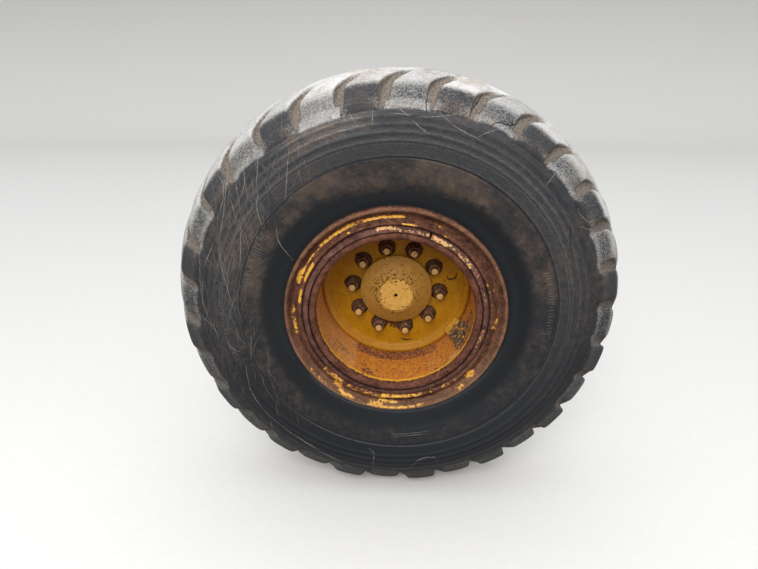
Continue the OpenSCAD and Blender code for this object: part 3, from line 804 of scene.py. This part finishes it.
def made_rusted(name, rust, paint, finer=1.0, raggedness=1.0, level=0.0, fade=None, dust_and_light="#B4A99C"):
    """Rusted steel under flaking paint. Rust is a dark and a bloom colour, and paint a fresh and a
    worn one. The level of paint is added everywhere, or fades between two depths. A point value of
    paint below zero darkens the steel with painted shade and grime. A point value of film lays the
    film colour over all: dust, and on the ring's lip, the disc's bend and the barrel's left also
    painted light."""
    material, tree = new_material(name)
    place, streaks = wheel_space(tree)
    likely = add(tree, "Attribute", attribute_name="paint").outputs["Fac"]
    likely = add(tree, "Math", {0: likely, 1: level}, operation="ADD")
    if fade:
        depth = add(tree, "SeparateXYZ", {0: place}).outputs["Y"]
        whole, bare = ((OUTER_PLANE + end) * MM for end in fade)
        likely = add(tree, "MapRange", {0: depth, 1: bare, 2: whole, 3: FADED, 4: level})
    cloud = add(tree, "TexNoise", {
        "Vector": place, "Scale": per_metre(BLOOM) * finer, "Detail": 9.0, "Roughness": 0.7})
    flake = add(tree, "TexNoise", {
        "Vector": place, "Scale": per_metre(FLAKE) * finer, "Detail": 8.0, "Roughness": 0.72})
    ring = add(tree, "TexNoise", {
        "Vector": streaks, "Scale": per_metre(RING_MARK) / STREAK, "Detail": 6.0, "Roughness": 0.7})
    grain = add(tree, "TexNoise", {
        "Vector": place, "Scale": per_metre(RUST_GRAIN), "Detail": 4.0, "Roughness": 0.7})
    # rust: blooms and rolling marks set the tone, and grains speckle it
    tone = add(tree, "Math", {0: cloud, 1: ring}, operation="ADD")
    tone = add(tree, "MapRange", {0: tone, 1: 0.82, 2: 1.2})
    base = add(tree, "Mix", {0: tone, 6: colour(rust[0]), 7: colour(rust[1])}, data_type="RGBA")
    speck = add(tree, "MapRange", {0: grain, 1: 0.36, 2: 0.64, 3: 0.3, 4: 1.5})
    base = add(tree, "VectorMath", {0: base, "Scale": speck}, operation="SCALE")
    # paint: flakes with a dark edge where rust creeps under it
    worn = add(tree, "MapRange", {0: cloud, 1: 0.35, 2: 0.65})
    coat = add(tree, "Mix", {0: worn, 6: colour(paint[0]), 7: colour(paint[1])}, data_type="RGBA")
    broken = add(tree, "MapRange", {0: flake, 1: 0.36, 2: 0.64, 3: -0.5 * raggedness, 4: 0.5 * raggedness})
    push = add(tree, "Math", {0: likely, 1: broken}, operation="ADD")
    mask = add(tree, "MapRange", {0: push, 1: 0.48, 2: 0.52})
    rim = add(tree, "MapRange", {0: push, 1: 0.52, 2: 0.6, 3: 0.55, 4: 1.0})
    coat = add(tree, "VectorMath", {0: coat, "Scale": rim}, operation="SCALE")
    surface = add(tree, "Mix", {0: mask, 6: base, 7: coat}, data_type="RGBA")
    # painted shade and grime in gaps and hollows, and a film of dust, on some parts painted light, over all
    shade_and_grime = add(tree, "MapRange", {0: likely, 1: -1.0, 2: 0.0, 3: 0.12, 4: 1.0})
    surface = add(tree, "VectorMath", {0: surface, "Scale": shade_and_grime}, operation="SCALE")
    film = add(tree, "Attribute", attribute_name="film").outputs["Fac"]
    veil = add(tree, "Math", {0: film, 1: speck}, operation="MULTIPLY", use_clamp=True)
    surface = add(tree, "Mix", {0: veil, 6: surface, 7: colour(dust_and_light)}, data_type="RGBA")
    rust_height = add(tree, "Math", {0: grain, 1: flake}, operation="ADD")
    height = add(tree, "Mix", {0: mask, 2: rust_height, 3: 1.35}, data_type="FLOAT")
    bump = add(tree, "Bump", {"Height": height, "Distance": RUST_RELIEF * MM, "Strength": 0.9})
    rough = add(tree, "MapRange", {0: mask, 1: 0.0, 2: 1.0, 3: 0.85, 4: 0.55})
    return finished(material, {
        "Base Color": surface, "Normal": bump, "Roughness": rough, "Specular IOR Level": 0.25})


# %% [markdown]
# ## The metals one by one
# Each metal is named for what it is and how its surface was made, because that decides what the eye
# sees. Rolled steel rusts in streaks along its rolling, castings rust in fine pits, and enamel chips
# where it was knocked. Every part could have its own node tree, but all are rust under paint, so one
# function serves them, and only colours, fineness and the level of paint differ.

# %% metals
# hot-rolled steel under yellow enamel: red-brown rust streaked round the wheel, paint left in flakes
# its film colour is dust, and on the lip a painted highlight
ring_steel = made_rusted("rusted_rim_steel", ("#34180C", "#82543E"), ("#E2AC46", "#C88C32"), dust_and_light="#C49A74")
# spring steel, rolled and split: its tight rust is purple and its flakes of paint are bleached
lock_steel = made_rusted("purple_rust_on_lock_ring", ("#3E2018", "#80584C"), ("#DCAC70", "#C0905A"))
# rolled tube in the shade of the rings: browner rust, and paint that the sun hasn't bleached
rim_steel = made_rusted("brown_rust_on_rim_base", ("#3A1C10", "#7A4C3A"), ("#E2A836", "#C98C2C"))
# brushed enamel that standing water has stained orange
barrel_coat = made_rusted("rust_stained_barrel_paint", ("#57302A", "#8C5848"), ("#CC8A2C", "#B8682C"),
                          finer=1.3, raggedness=1.1, dust_and_light="#DDB078")
# sprayed enamel on a pressed disc, nearly whole and dulled to ochre
disc_paint = made_rusted("ochre_disc_paint_on_steel", ("#4A2810", "#6E4218"), ("#AA7600", "#9A6600"),
                         dust_and_light="#C48444")
# sprayed enamel on a cast cap, bleached tan, with fine pits of rust
cap_paint = made_rusted("tan_hub_cap_paint", ("#4A2C12", "#6E4822"), ("#B0823A", "#A07430"),
                        finer=1.7)
# the button's paint is a lighter copy of the cap's: painted light on its face
button_paint_lit = made_rusted("hub_cap_button_paint_with_painted_light", ("#4A2C12", "#6E4822"), ("#D0A050", "#C0903E"),
                           finer=1.7)
# forged and cut steel: rust in small grains, with paint on the ends
nut_steel = made_rusted("rusted_nut_steel", ("#3A2014", "#94684A"), ("#B08850", "#8A6A40"),
                        finer=2.0)
stud_steel = made_rusted("dull_painted_stud_steel", ("#5A3E26", "#86643E"), ("#D0A464", "#AC8450"),
                         finer=2.0)
# folded sheet with black bitumen coat and yellow enamel, chipped by stones
guard_coat = made_rusted("yellow_and_black_guard_coat", ("#1B1A19", "#786656"), ("#E4AC44", "#B8822C"),
                         finer=1.15, raggedness=1.1, level=0.95, fade=(196, 150))
# a forging under thick enamel, with chips larger than on sheet
knuckle_paint = made_rusted("worn_yellow_forging_paint", ("#5A3A26", "#7A5236"), ("#C8902A", "#B07C20"),
                            finer=0.45, raggedness=0.9, level=0.78)
# cast bronze, dull with grease
bushing_bronze = made_rusted("dull_bushing_bronze", ("#7A5A2E", "#A8843C"), ("#B08C44", "#9C7A38"),
                             raggedness=0.6, level=0.4)
# rust in scratched paint, and a moulded rubber seal that old oil has blackened and dust has dulled
rust_line = made_grained("rust_in_scratched_paint", "#2C1408", "#4A2410")
seal_rubber = made_grained("oily_seal_rubber", "#141414", "#2E2A26")

# %% [markdown]
# ## Turned parts
# A rim ring is rolled from a bar of one section, so it is its section's outline turned round the
# axle. Corners get small fillets, as worn steel has, and the outline is cut finely only where it is
# seen. A slow wave of a quarter of a millimetre keeps the rings from looking new.

# %% outlines in the section plane
def rounded(corners, fillet=1.6, step=4.0, seen=1000.0):
    """A closed outline in mm with its sharp corners rounded; straight parts are cut in steps,
    which are long where they lie deeper than what is seen."""
    corners = [np.array(corner, float) for corner in corners]
    outline = []
    for before, corner, after in zip(corners[-1:] + corners[:-1], corners, corners[1:] + corners[:1]):
        back, ahead = before - corner, after - corner
        if back @ ahead < -0.9 * np.hypot(*back) * np.hypot(*ahead):
            outline.append(corner)
            continue
        reach = min(fillet, 0.45 * np.hypot(*back), 0.45 * np.hypot(*ahead))
        start = corner + back / np.hypot(*back) * reach
        end = corner + ahead / np.hypot(*ahead) * reach
        for t in np.linspace(0, 1, 4):
            outline.append((1 - t) ** 2 * start + 2 * t * (1 - t) * corner + t * t * end)
    dense = []
    for here, following in zip(outline, outline[1:] + outline[:1]):
        cuts = max(1, int(np.hypot(*(following - here)) / (step if here[1] < seen else 40)))
        dense += [here + (following - here) * i / cuts for i in range(cuts)]
    return np.array(dense)


def arc(centre, radius, first, last, count=12):
    """Points in mm on an arc in the section plane; degrees from the radius towards the depth."""
    turns = np.radians(np.linspace(first, last, count))
    return [(centre[0] + radius * math.cos(a), centre[1] + radius * math.sin(a)) for a in turns]


print("a rounded square of 20 mm has", len(rounded([(0, 0), (20, 0), (20, 20), (0, 20)])), "points")

# %% turning an outline
# how many waves an old ring has in one turn
WAVES = (5, 9, 17, 31)


def windows(table, angle, across, base=0.0, soft=3.0):
    """How likely paint is round the wheel, from a table of windows in degrees and mm."""
    likely = np.full(np.broadcast(angle, across).shape, float(base))
    for start, stop, low, high, amount in table:
        off = np.abs((angle - (start + stop) / 2 + 180) % 360 - 180)
        half = (stop - start) / 2
        inside = smooth(half + 1.5, max(half - 1.5, 0), off)
        inside = inside * between(across, low - soft, low + soft / 2, high - soft / 2, high + soft)
        likely = likely + (amount - likely) * inside
    return likely


def turned(name, outline, material, columns, paint, wobble=0.25, span=(0, 360), closed=True, film=None):
    """A ring piece; paint and film of dust are functions of angle, radius and depth."""
    full = span[1] - span[0] == 360
    angle = np.linspace(*span, columns, endpoint=not full)[None, :]
    radius, depth = outline[:, :1], outline[:, 1:]
    wave = 0
    for count in WAVES:
        size = chance.uniform(-1, 1)
        wave = wave + size * np.cos(np.radians(count * angle + chance.uniform(0, 360)))
    points = from_wheel(radius + wobble * wave, angle, depth + 0.6 * wobble * wave)
    whole = np.ones(points.shape[:2])
    values = {"paint": whole * paint(angle, radius, depth),
              "film": whole * (film(angle, radius, depth) if film else 0)}
    faces = grid_faces(len(outline), columns, closed, full)
    if not full:
        faces += [tuple(range(first, len(outline) * columns, columns)) for first in (0, columns - 1)]
    return mesh_piece(name, points, faces, "wheel", material, values)


def stands_for(piece, node):
    """Hides a CAD node behind the piece that repeats it."""
    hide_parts(node)


middle = windows(((10, 20, 300, 310, 0.8),), angle=15, across=305)
print("a window of 0.8 gives", round(float(middle), 2), "in its middle")

# %% [markdown]
# ## Side ring and lock ring
# The side ring's face is a trough that ends in a rolled lip. The lock ring slopes away from the
# gutter's round edge, and light catches its flakes at the top of the wheel. Where paint is left is
# read from the photograph as windows in degrees and millimetres, and the noise does the rest.

# %% sizes and paint of the rings
OPENING_R = 236.0
TUBE_R = 245.0
GUTTER_R = 257.0
LOCK_R = 258.0, 276.0
SIDE_IN_R = 276.3
SEAT_R = 304.8
LIP = 6.5
LIP_CENTRE_R = FLANGE_R - LIP
# degrees from and to, radius from and to in mm, likelihood
RING_PAINT = (
    (86, 104, 298, 305, 0.85), (103, 136, 298, 306, 0.72), (136, 155, 297, 302, 0.6),
    (109, 117, 297, 309, 0.6), (152, 161, 296, 311, 0.8), (145, 158, 281, 290, 0.85),
    (163, 173, 282, 290, 0.9), (175, 193, 299, 308, 0.56), (117, 119, 284, 289, 0.8),
    (79, 87, 280, 286, 0.75), (60, 64, 280, 285, 0.7), (12, 18, 293, 300, 0.5),
    (3, 25, 279, 284, 0.46), (64, 70, 295, 302, 0.45), (215, 228, 315, 321, 0.46),
    (220, 232, 277, 292, 0.5), (230, 236, 276, 299, 0.62), (231, 238, 297, 309, 0.7),
    (236, 247, 311, 319, 0.72), (238, 250, 277, 292, 0.52), (250, 255, 276, 294, 0.5),
    (256, 265, 278, 295, 0.68), (263, 277, 277, 284, 0.8), (275, 288, 278, 288, 0.68),
    (255, 264, 310, 321, 0.8), (260, 272, 302, 310, 0.68), (262, 287, 317, 322, 0.66),
    (301, 307, 279, 291, 0.56), (293, 296, 277, 290, 0.5), (310, 312, 279, 291, 0.5),
    (307, 313, 310, 319, 0.66), (316, 323, 293, 313, 0.66), (332, 340, 292, 298, 0.5),
    (352, 359, 288, 303, 0.52))
LOCK_PAINT = (
    (28, 72, 262, 272, 0.42), (36, 48, 259, 270, 0.54), (57, 69, 259, 269, 0.58),
    (90, 102, 267, 275, 0.62), (72, 90, 262, 270, 0.4), (10, 18, 264, 269, 0.5),
    (338, 352, 259, 268, 0.52), (245, 250, 262, 268, 0.48))
print(len(RING_PAINT), "windows of paint on the side ring,", len(LOCK_PAINT), "on the lock ring")


def or_shade_and_grime(painted, shade_and_grime):
    """Paint where a window gives any, and elsewhere painted shade and grime, which count below zero."""
    return np.where(painted > 0.2, painted, -shade_and_grime)


def ring_likely(angle, radius, depth):
    """Paint on the side ring, with painted shade and grime in the trough and in the gap beside the lock
    ring.
    """
    shade_and_grime = 0.35 * hump(radius, 296, 9) + 0.8 * hump(radius, SIDE_IN_R, 2.5) + 0.5 * hump(radius, 313, 4)
    return or_shade_and_grime(windows(RING_PAINT, angle, radius) * (depth < 24), shade_and_grime)


def ring_dust_and_highlight(angle, radius, depth):
    """Pale film on the side ring: all round on its lip, partly dust and partly a painted highlight, and on
    its face below and a little at the right.
    """
    face = 0.14 * smooth(0.05, -0.8, upward(angle)) * smooth(302, 307, radius)
    face = face + 0.02 * smooth(0.3, 0.9, rightward(angle))
    return 0.11 * smooth(319, 323, radius) * smooth(9, 4, depth) + face


def lock_likely(angle, radius, depth):
    """Paint flakes on the lock ring's slope, with painted shade and grime at both of its edges."""
    shade_and_grime = sum(0.8 * hump(radius, edge, 2) for edge in LOCK_R)
    return or_shade_and_grime(windows(LOCK_PAINT, angle, radius) * (depth < 14), shade_and_grime)


def gutter_likely(angle, radius, depth):
    """Paint on the rim base: a ragged strip inside the gutter, and a little on the inner flange."""
    ragged = 0.58 + 0.37 * smooth(0.4, -0.3, upward(angle)) + 0.06 * upward(7 * angle)
    return ragged * between(depth, 19, 24, 38, 41) * (radius < TUBE_R + 1) + 0.14 * (depth > 250)


# %% side ring
trough = [(SIDE_IN_R, 11), (283, 3), (300, 17), (304, 17.5)]
lip = arc((LIP_CENTRE_R, LIP), LIP, -170, 0, 16)
side_outline = rounded(trough + lip + [
    (FLANGE_R, 26.5), (LIP_CENTRE_R, 26.5), (LIP_CENTRE_R, 45), (SEAT_R, 45), (SEAT_R, 77),
    (SIDE_IN_R, 77)], fillet=2.4, step=4.0, seen=26)
stands_for(turned("side_ring_turned", side_outline, ring_steel, 640, ring_likely, film=ring_dust_and_highlight),
           "side_ring")

# %% lock ring
lock_in, lock_out = LOCK_R
lock_corners = [(lock_in, 3.5), (262, 3.5), (lock_out, 11), (lock_out, 29), (lock_in, 29)]
lock_outline = rounded(lock_corners, fillet=1.5)
# the split of 7 mm lies at 69 degrees
half_split = math.degrees(3.5 / lock_out)
lock_span = 69 + half_split, 429 - half_split
stands_for(turned("lock_ring_turned", lock_outline, lock_steel, 720, lock_likely, wobble=0.35,
                  span=lock_span), "lock_ring")

# %% [markdown]
# ## Rim base
# The rim base is a rolled bar bent into a tube. It has a round bead at its open edge, a gutter for
# the lock ring, a seat for the tyre's inner foot, and a fixed flange at the back that mirrors the
# side ring. One outline holds all of that, so no seam can open between them.

# %% rim base
bead = arc((OPENING_R + 10.5, 12.5), 10.5, 180, 360, 14)
gutter = [(GUTTER_R, 30), (270, 30), (270, 40), (TUBE_R + 12, 40)]
back_seat = [(TUBE_R + 12, 259), (SEAT_R, 259), (SEAT_R, 299), (LIP_CENTRE_R, 299)]
back_lip = [(LIP_CENTRE_R, 317.5), (FLANGE_R, 317.5)] + arc((LIP_CENTRE_R, 337.5), LIP, 0, 170, 14)
back_trough = [(304, 326.5), (300, 327), (283, 341)]
tube = [(TUBE_R, 341), (TUBE_R, 36), (OPENING_R, 36)]
rim_corners = bead + gutter + back_seat + back_lip + back_trough + tube
rim_outline = rounded(rim_corners, fillet=1.6, step=6.0, seen=41)
stands_for(turned("rim_turned", rim_outline, rim_steel, 432, gutter_likely, wobble=0.0), "rim_base")

# %% [markdown]
# ## The old coat inside the barrel
# The barrel still has its paint, stained orange by rust, with a ragged edge behind the gutter and
# bare rust where water stands. It is a skin a third of a millimetre over the steel, so that it
# can have a finish of its own and a grid as fine as the eye needs there.

# %% barrel skin
SKIN = 0.3
# degrees from and to, depth from and to in mm, likelihood
BARREL_PAINT = (
    (236, 304, 172, 214, 0.4), (218, 232, 108, 135, 0.42), (244, 254, 55, 82, 0.45),
    (300, 318, 40, 80, 0.6), (205, 222, 60, 120, 0.6), (322, 352, 60, 150, 0.45))
# film windows: degrees from and to, depth from and to in mm, amount; the one at the left is partly painted
# light
BARREL_DUST_AND_LIGHT = (168, 238, 40, 222, 0.3), (295, 350, 40, 222, 0.08), (315, 326, 34, 72, 0.5)
depth = np.concatenate((np.linspace(14, 60, 20), np.linspace(63, 222, 44)))
skin_outline = np.stack((np.full_like(depth, TUBE_R - SKIN), depth), -1)


def barrel_likely(angle, radius, depth):
    """Paint in the barrel, which is mostly whole."""
    return windows(BARREL_PAINT, angle, depth, base=0.8, soft=9.0)


def barrel_dust_and_light(angle, radius, depth):
    """Pale film in the barrel: at the left partly dust and partly painted light, a thin one and a thick
    spot at the lower right.
    """
    return windows(BARREL_DUST_AND_LIGHT, angle, depth, base=0.02, soft=12.0)


barrel = turned("barrel_skin", skin_outline, barrel_coat, 480, barrel_likely, wobble=0.0, closed=False,
                film=barrel_dust_and_light)

# %% [markdown]
# ## Disc
# The disc is pressed and dished, and its edge is rolled towards the viewer. Two arcs that meet give
# the dish, because a spline through the same places would bulge between them. Its paint is nearly
# whole, apart from a hooked scratch and a short gouge, which are ribbons of rust on the steel.

# %% disc
DISC_FACE = 226.0
DISC_BACK = 240.0
PILOT_R = 110.3
BEND = (TUBE_R - 12.3, 224.0), 12.0
HOLLOW = (206.2, 206.0), 20.0
DISC_PAINT = (258, 268, 122, 140, 0.3), (266, 276, 130, 150, 0.2), (262, 268, 140, 150, 0.35)
STUD_CIRCLE = 285.75 / 2
STUDS = 10
FIRST_STUD = 102.8
(bend_r, bend_depth), (hollow_r, hollow_depth) = BEND[0], HOLLOW[0]
meeting = math.degrees(math.atan2(bend_depth - hollow_depth, bend_r - hollow_r))
dish = arc(*HOLLOW, 90, meeting, 10)[:-1] + arc(*BEND, 180 + meeting, 360, 18)
disc_outline = rounded([(PILOT_R, DISC_FACE), (150, DISC_FACE)] + dish + [
    (244.7, 264), (232.7, 264), (232.7, DISC_BACK), (PILOT_R, DISC_BACK)], fillet=1.2, step=4.0, seen=228)
print("the disc's bend meets its hollow at", round(meeting, 1), "degrees")


def disc_likely(angle, radius, depth):
    """Paint on the disc: whole but for the marks, and darker round each nut with grime and a painted shadow
    ring.
    """
    nearest = (angle - FIRST_STUD + 180 / STUDS) % (360 / STUDS) - 180 / STUDS
    away = np.hypot(radius - STUD_CIRCLE, radius * np.radians(nearest))
    whole = windows(DISC_PAINT, angle, radius, 0.97, 1.5)
    # below zero round each nut: grime and a painted shadow ring
    return np.where((away < 28) & (depth < 230), -0.75, whole)


def disc_dust_and_highlight(angle, radius, depth):
    """Pale film in the disc's bend, below and at the left: partly dust and partly a painted highlight on
    the bend's lit side.
    """
    below, left = smooth(0.1, -0.9, upward(angle)), smooth(0.3, 0.9, -rightward(angle))
    return smooth(212, 226, radius) * np.maximum(0.14 * below, 0.3 * left)


disc = turned("wheel_disc_turned", disc_outline, disc_paint, 540, disc_likely, film=disc_dust_and_highlight)
stands_for(disc, "wheel_disc")
# a hooked scratch and a short gouge, in pixels of the photograph
DISC_SCRATCHES = (
    ((446.5, 276), (448.5, 279.5), (454, 279.5), (457.7, 272)),
    ((400.5, 337.8), (406, 339.5), (412.5, 339.2)))
ribbons("disc_scratches", DISC_SCRATCHES, seen_ray, width=5.5, material=rust_line, jitter=0.3,
        step=1.0, surface=surface_of([disc]))


# %% [markdown]
# ## Hub cap
# The cap is a shallow cone with a crisp raised button. One outline for both would round the step
# between them, so the button is a turned piece of its own. The button's paint is a lighter copy of
# the cap's, which paints light on its face, and the cap's is pitted where water stands round the button.

# %% hub cap
def cap_likely(angle, radius, depth):
    """Paint on the hub cap: whole near the edge, pitted round the button, painted shade in the centre hole.
    """
    pitted = hump(radius, 63, 15) * (0.66 + 0.34 * upward(angle - 40))
    # the centre hole is darkened as painted shade
    return np.where(radius < 5.6, -1, 0.88 - 0.3 * pitted)


# the closed outlines are cut open again at the back, where nothing shows
cap_corners = [(40, 164), (55, 164), (62, 164), (116.5, 204), (116.5, 216), (60, 216)]
cap_outline = np.array([(40, 166)] + rounded(cap_corners, fillet=0.9, step=3.0).tolist()[4:-2])
cap = turned("hub_cap_turned", cap_outline, cap_paint, 300, cap_likely, wobble=0.1, closed=False)
stands_for(cap, "hub_cap")
centre_hole = [(0.1, 163.5), (4.6, 163), (5.2, 159.6)]
button_corners = [(5.2, 159), (54.5, 159), (54.8, 164.6)]
button_outline = np.array(centre_hole + rounded(button_corners, fillet=1.0, step=3.0).tolist()[2:-3])
button = turned("hub_cap_button", button_outline, button_paint_lit, 240, cap_likely, wobble=0.05, closed=False)

# %% [markdown]
# ## Nuts and studs
# Ten flanged nuts hold the disc. A nut is a hexagon turned on a lathe at its ends, so each of its
# rings is a hexagon cut back to a circle. No two were tightened alike, so each has its own turn. Ten
# instances of one nut would be lighter, but they would all be turned and rusted alike.

# %% rings of a nut
NUT_POINTS = 72
STUD_POINTS = 40


def stud_frame(i):
    """Maps local places (sideways, outward, depth) in mm at stud i to metres."""
    angle = math.radians(FIRST_STUD - i * 360 / STUDS)
    out = np.array((math.cos(angle), 0, math.sin(angle)))
    side = np.array((-math.sin(angle), 0, math.cos(angle)))
    axis = np.array((0, 1, 0))

    def place(points):
        points = np.asarray(points, float)
        middle = STUD_CIRCLE * out + OUTER_PLANE * axis
        return (middle + points[:, :1] * side + points[:, 1:2] * out + points[:, 2:] * axis) * MM
    return place


def rings_mesh(rings):
    """Points and faces of a stack of closed rings, capped at its first and last."""
    count = len(rings[0])
    faces = grid_faces(len(rings), count)
    faces += [tuple(range(count)), tuple(range((len(rings) - 1) * count, len(rings) * count))]
    return np.concatenate(rings), faces


def hex_ring(across, depth, turn, round_to, count):
    """A ring of points on a hexagon in mm, cut back to a circle."""
    a = np.linspace(0, 2 * math.pi, count, endpoint=False)
    r = across / 2 / np.cos((a + math.pi / 6) % (math.pi / 3) - math.pi / 6)
    r = np.minimum(np.minimum(r, across / math.sqrt(3) * 0.985), round_to)
    return np.stack((r * np.cos(a + turn), r * np.sin(a + turn), np.full(count, depth)), -1)


def joined(name, parts, material):
    """One piece from the points, faces and paint of all ten studs."""
    points, faces, paint, start = [], [], [], 0
    for part_points, part_faces, part_paint in parts:
        points.append(part_points)
        paint.append(part_paint)
        faces += [tuple(start + i for i in face) for face in part_faces]
        start += len(part_points)
    values = {"paint": np.concatenate(paint)}
    return mesh_piece(name, np.concatenate(points), faces, "wheel", material, values)


corner = np.hypot(*hex_ring(33, 0, 0, 18.9, NUT_POINTS)[:, :2].T).max()
print("a nut's corners are cut back from", round(33 / math.sqrt(3), 2), "to", round(corner, 2), "mm")

# %% ten nuts and ten studs
# rings of a nut: across flats, round limit and height in mm, likelihood of paint, which below zero is
# painted shade and rust on the flange, at the hex's foot and round the stud
NUT = (
    (80, 24.5, 0, -0.8), (80, 24.5, 2.4, -0.5), (80, 23.2, 3.6, -0.5), (80, 20, 6, -0.6),
    (33, 18.9, 8, -0.4), (33, 18.9, 9, -0.1), (33, 18.9, 27, 0.1), (33, 16.6, 30, 0.3),
    (33, 12, 30, -0.6))
# rings of a stud, whose thread is a row of steps: radius and height in mm, likelihood of paint, which below
# zero darkens the thread with rust and painted shade between its steps
THREAD = [(11 - 0.9 * (k % 2), 29 + k, -0.6 + 0.04 * k) for k in range(15)]
STUD = [(16, -44, 0), (16, -36, 0), (10.9, -36, 0)] + THREAD + [(10.4, 45.4, 0.8), (8.6, 46, 0.9)]
nuts, studs = [], []
for i in range(STUDS):
    place, turn = stud_frame(i), chance.uniform(0, math.pi / 3)
    points, faces = rings_mesh([hex_ring(across, DISC_FACE - h, turn, r, NUT_POINTS)
                                for across, r, h, _ in NUT])
    nuts.append((place(points), faces, np.repeat([row[3] for row in NUT], NUT_POINTS)))
    points, faces = rings_mesh([hex_ring(80, DISC_FACE - h, 0, r, STUD_POINTS) for r, h, _ in STUD])
    studs.append((place(points), faces, np.repeat([row[2] for row in STUD], STUD_POINTS)))
stands_for(joined("wheel_nuts_turned", nuts, nut_steel), "wheel_nuts")
stands_for(joined("wheel_studs_turned", studs, stud_steel), "wheel_studs")

# %% [markdown]
# ## The pieces that stay as CAD made them
# Hub, guard, valve, seal and knuckle have the right shape already, so they only get a finish. A
# Bevel modifier rounds the edges of the guard and the forging, which no forge leaves sharp.

# %% materials and worn edges of the CAD nodes
BY_NODE = {
    "hub": knuckle_paint, "valve_guard": guard_coat, "valve_stem": nut_steel, "grease_seal": seal_rubber,
    "knuckle": knuckle_paint, "kingpin_bushings": bushing_bronze, "grease_fittings": nut_steel}
WORN_EDGES = {"valve_guard": 1.2, "knuckle": 3.0}
for node_name, material in BY_NODE.items():
    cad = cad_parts[node_name]
    cad.data.materials.clear()
    cad.data.materials.append(material)
for node_name, width in WORN_EDGES.items():
    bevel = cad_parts[node_name].modifiers.new("worn_edges", "BEVEL")
    bevel.width = width * MM
    bevel.segments = 3
    bevel.limit_method = "ANGLE"
print("finished", len(BY_NODE), "CAD nodes")

# %% [markdown]
# ## Floor
# A sweep of pale paper stands behind the wheel, curved so that no line shows where floor turns into
# wall. A plane would show its horizon. The sweep gives back little light, though the camera sees it
# pale. Light Path tells the two apart, so the wheel isn't lit from below as in a white studio.

# %% floor that sweeps up into a backdrop
# paper fibres are far finer than this size in mm, the finest that shows
PAPER_FLECK = 25.0
HALF_SWEEP = 25
floor_material, floor_tree = new_material("pale_studio_paper")
floor_place = add(floor_tree, "TexCoord").outputs["Object"]
fleck = add(floor_tree, "TexNoise", {
    "Vector": floor_place, "Scale": per_metre(PAPER_FLECK), "Detail": 4.0})
pale = add(floor_tree, "Mix", {0: fleck, 6: colour("#D6D3CC"), 7: colour("#DCD9D2")}, data_type="RGBA")
seen = add(floor_tree, "LightPath").outputs["Is Camera Ray"]
floor_look = add(floor_tree, "Mix", {0: seen, 6: colour("#8F867A"), 7: pale}, data_type="RGBA")
finished(floor_material, {"Base Color": floor_look, "Roughness": 0.95})
# the sweep's profile, as distance behind the wheel and height in metres
curve = [(7 + 3 * math.sin(a), 3 - 3 * math.cos(a)) for a in np.linspace(0, math.pi / 2, 24)]
sweep = [(-20, 0)] + curve + [(10, 9)]
points = [(x, y, z - CROWN_R * MM) for x in (-HALF_SWEEP, HALF_SWEEP) for y, z in sweep]
faces = [(i, i + 1, i + 1 + len(sweep), i + len(sweep)) for i in range(len(sweep) - 1)]
floor_mesh = bpy.data.meshes.new("studio_sweep")
floor_mesh.from_pydata(points, [], faces)
floor_mesh.polygons.foreach_set("use_smooth", [True] * len(faces))
floor_mesh.materials.append(floor_material)
floor = bpy.data.objects.new("studio_sweep", floor_mesh)
bpy.context.scene.collection.objects.link(floor)

# %% [markdown]
# ## Sky and sun
# A wheel outdoors under bright cloud has soft shadows that come from above. A sky picture could
# light it, but a plain gradient that is brightest overhead falls off in the same way and needs no
# file, and one large lamp stands for the sun behind the cloud.

# %% sky and sun behind thin cloud
SUN_WATTS = 190
SUN_SIZE = 2.6
SUN_PLACE = (-0.5, -4.4, 3.2)
SUN_AIM = Vector((0, -0.3, 0))
world = bpy.data.worlds.new("soft_sky")
bpy.context.scene.world = world
world.use_nodes = True
sky = world.node_tree
sky_place = add(sky, "TexCoord").outputs["Generated"]
height = add(sky, "SeparateXYZ", {0: sky_place}).outputs["Z"]
strength = add(sky, "MapRange", {0: height, 1: -0.1, 2: 0.95, 3: 0.35, 4: 1.75})
sky.links.new(socket_of(strength), sky.nodes["Background"].inputs["Strength"])
sky.nodes["Background"].inputs["Color"].default_value = colour("#EEF2FA")
lamp_data = bpy.data.lights.new("veiled_sun", "AREA")
lamp_data.energy = SUN_WATTS
lamp_data.size = SUN_SIZE
lamp = bpy.data.objects.new("veiled_sun", lamp_data)
bpy.context.scene.collection.objects.link(lamp)
lamp.location = SUN_PLACE
lamp.rotation_euler = (SUN_AIM - lamp.location).to_track_quat("-Z", "Y").to_euler()
bpy.context.scene.view_settings.view_transform = "Standard"
print("lamp", SUN_WATTS, "W over", SUN_SIZE, "m, at", SUN_PLACE)
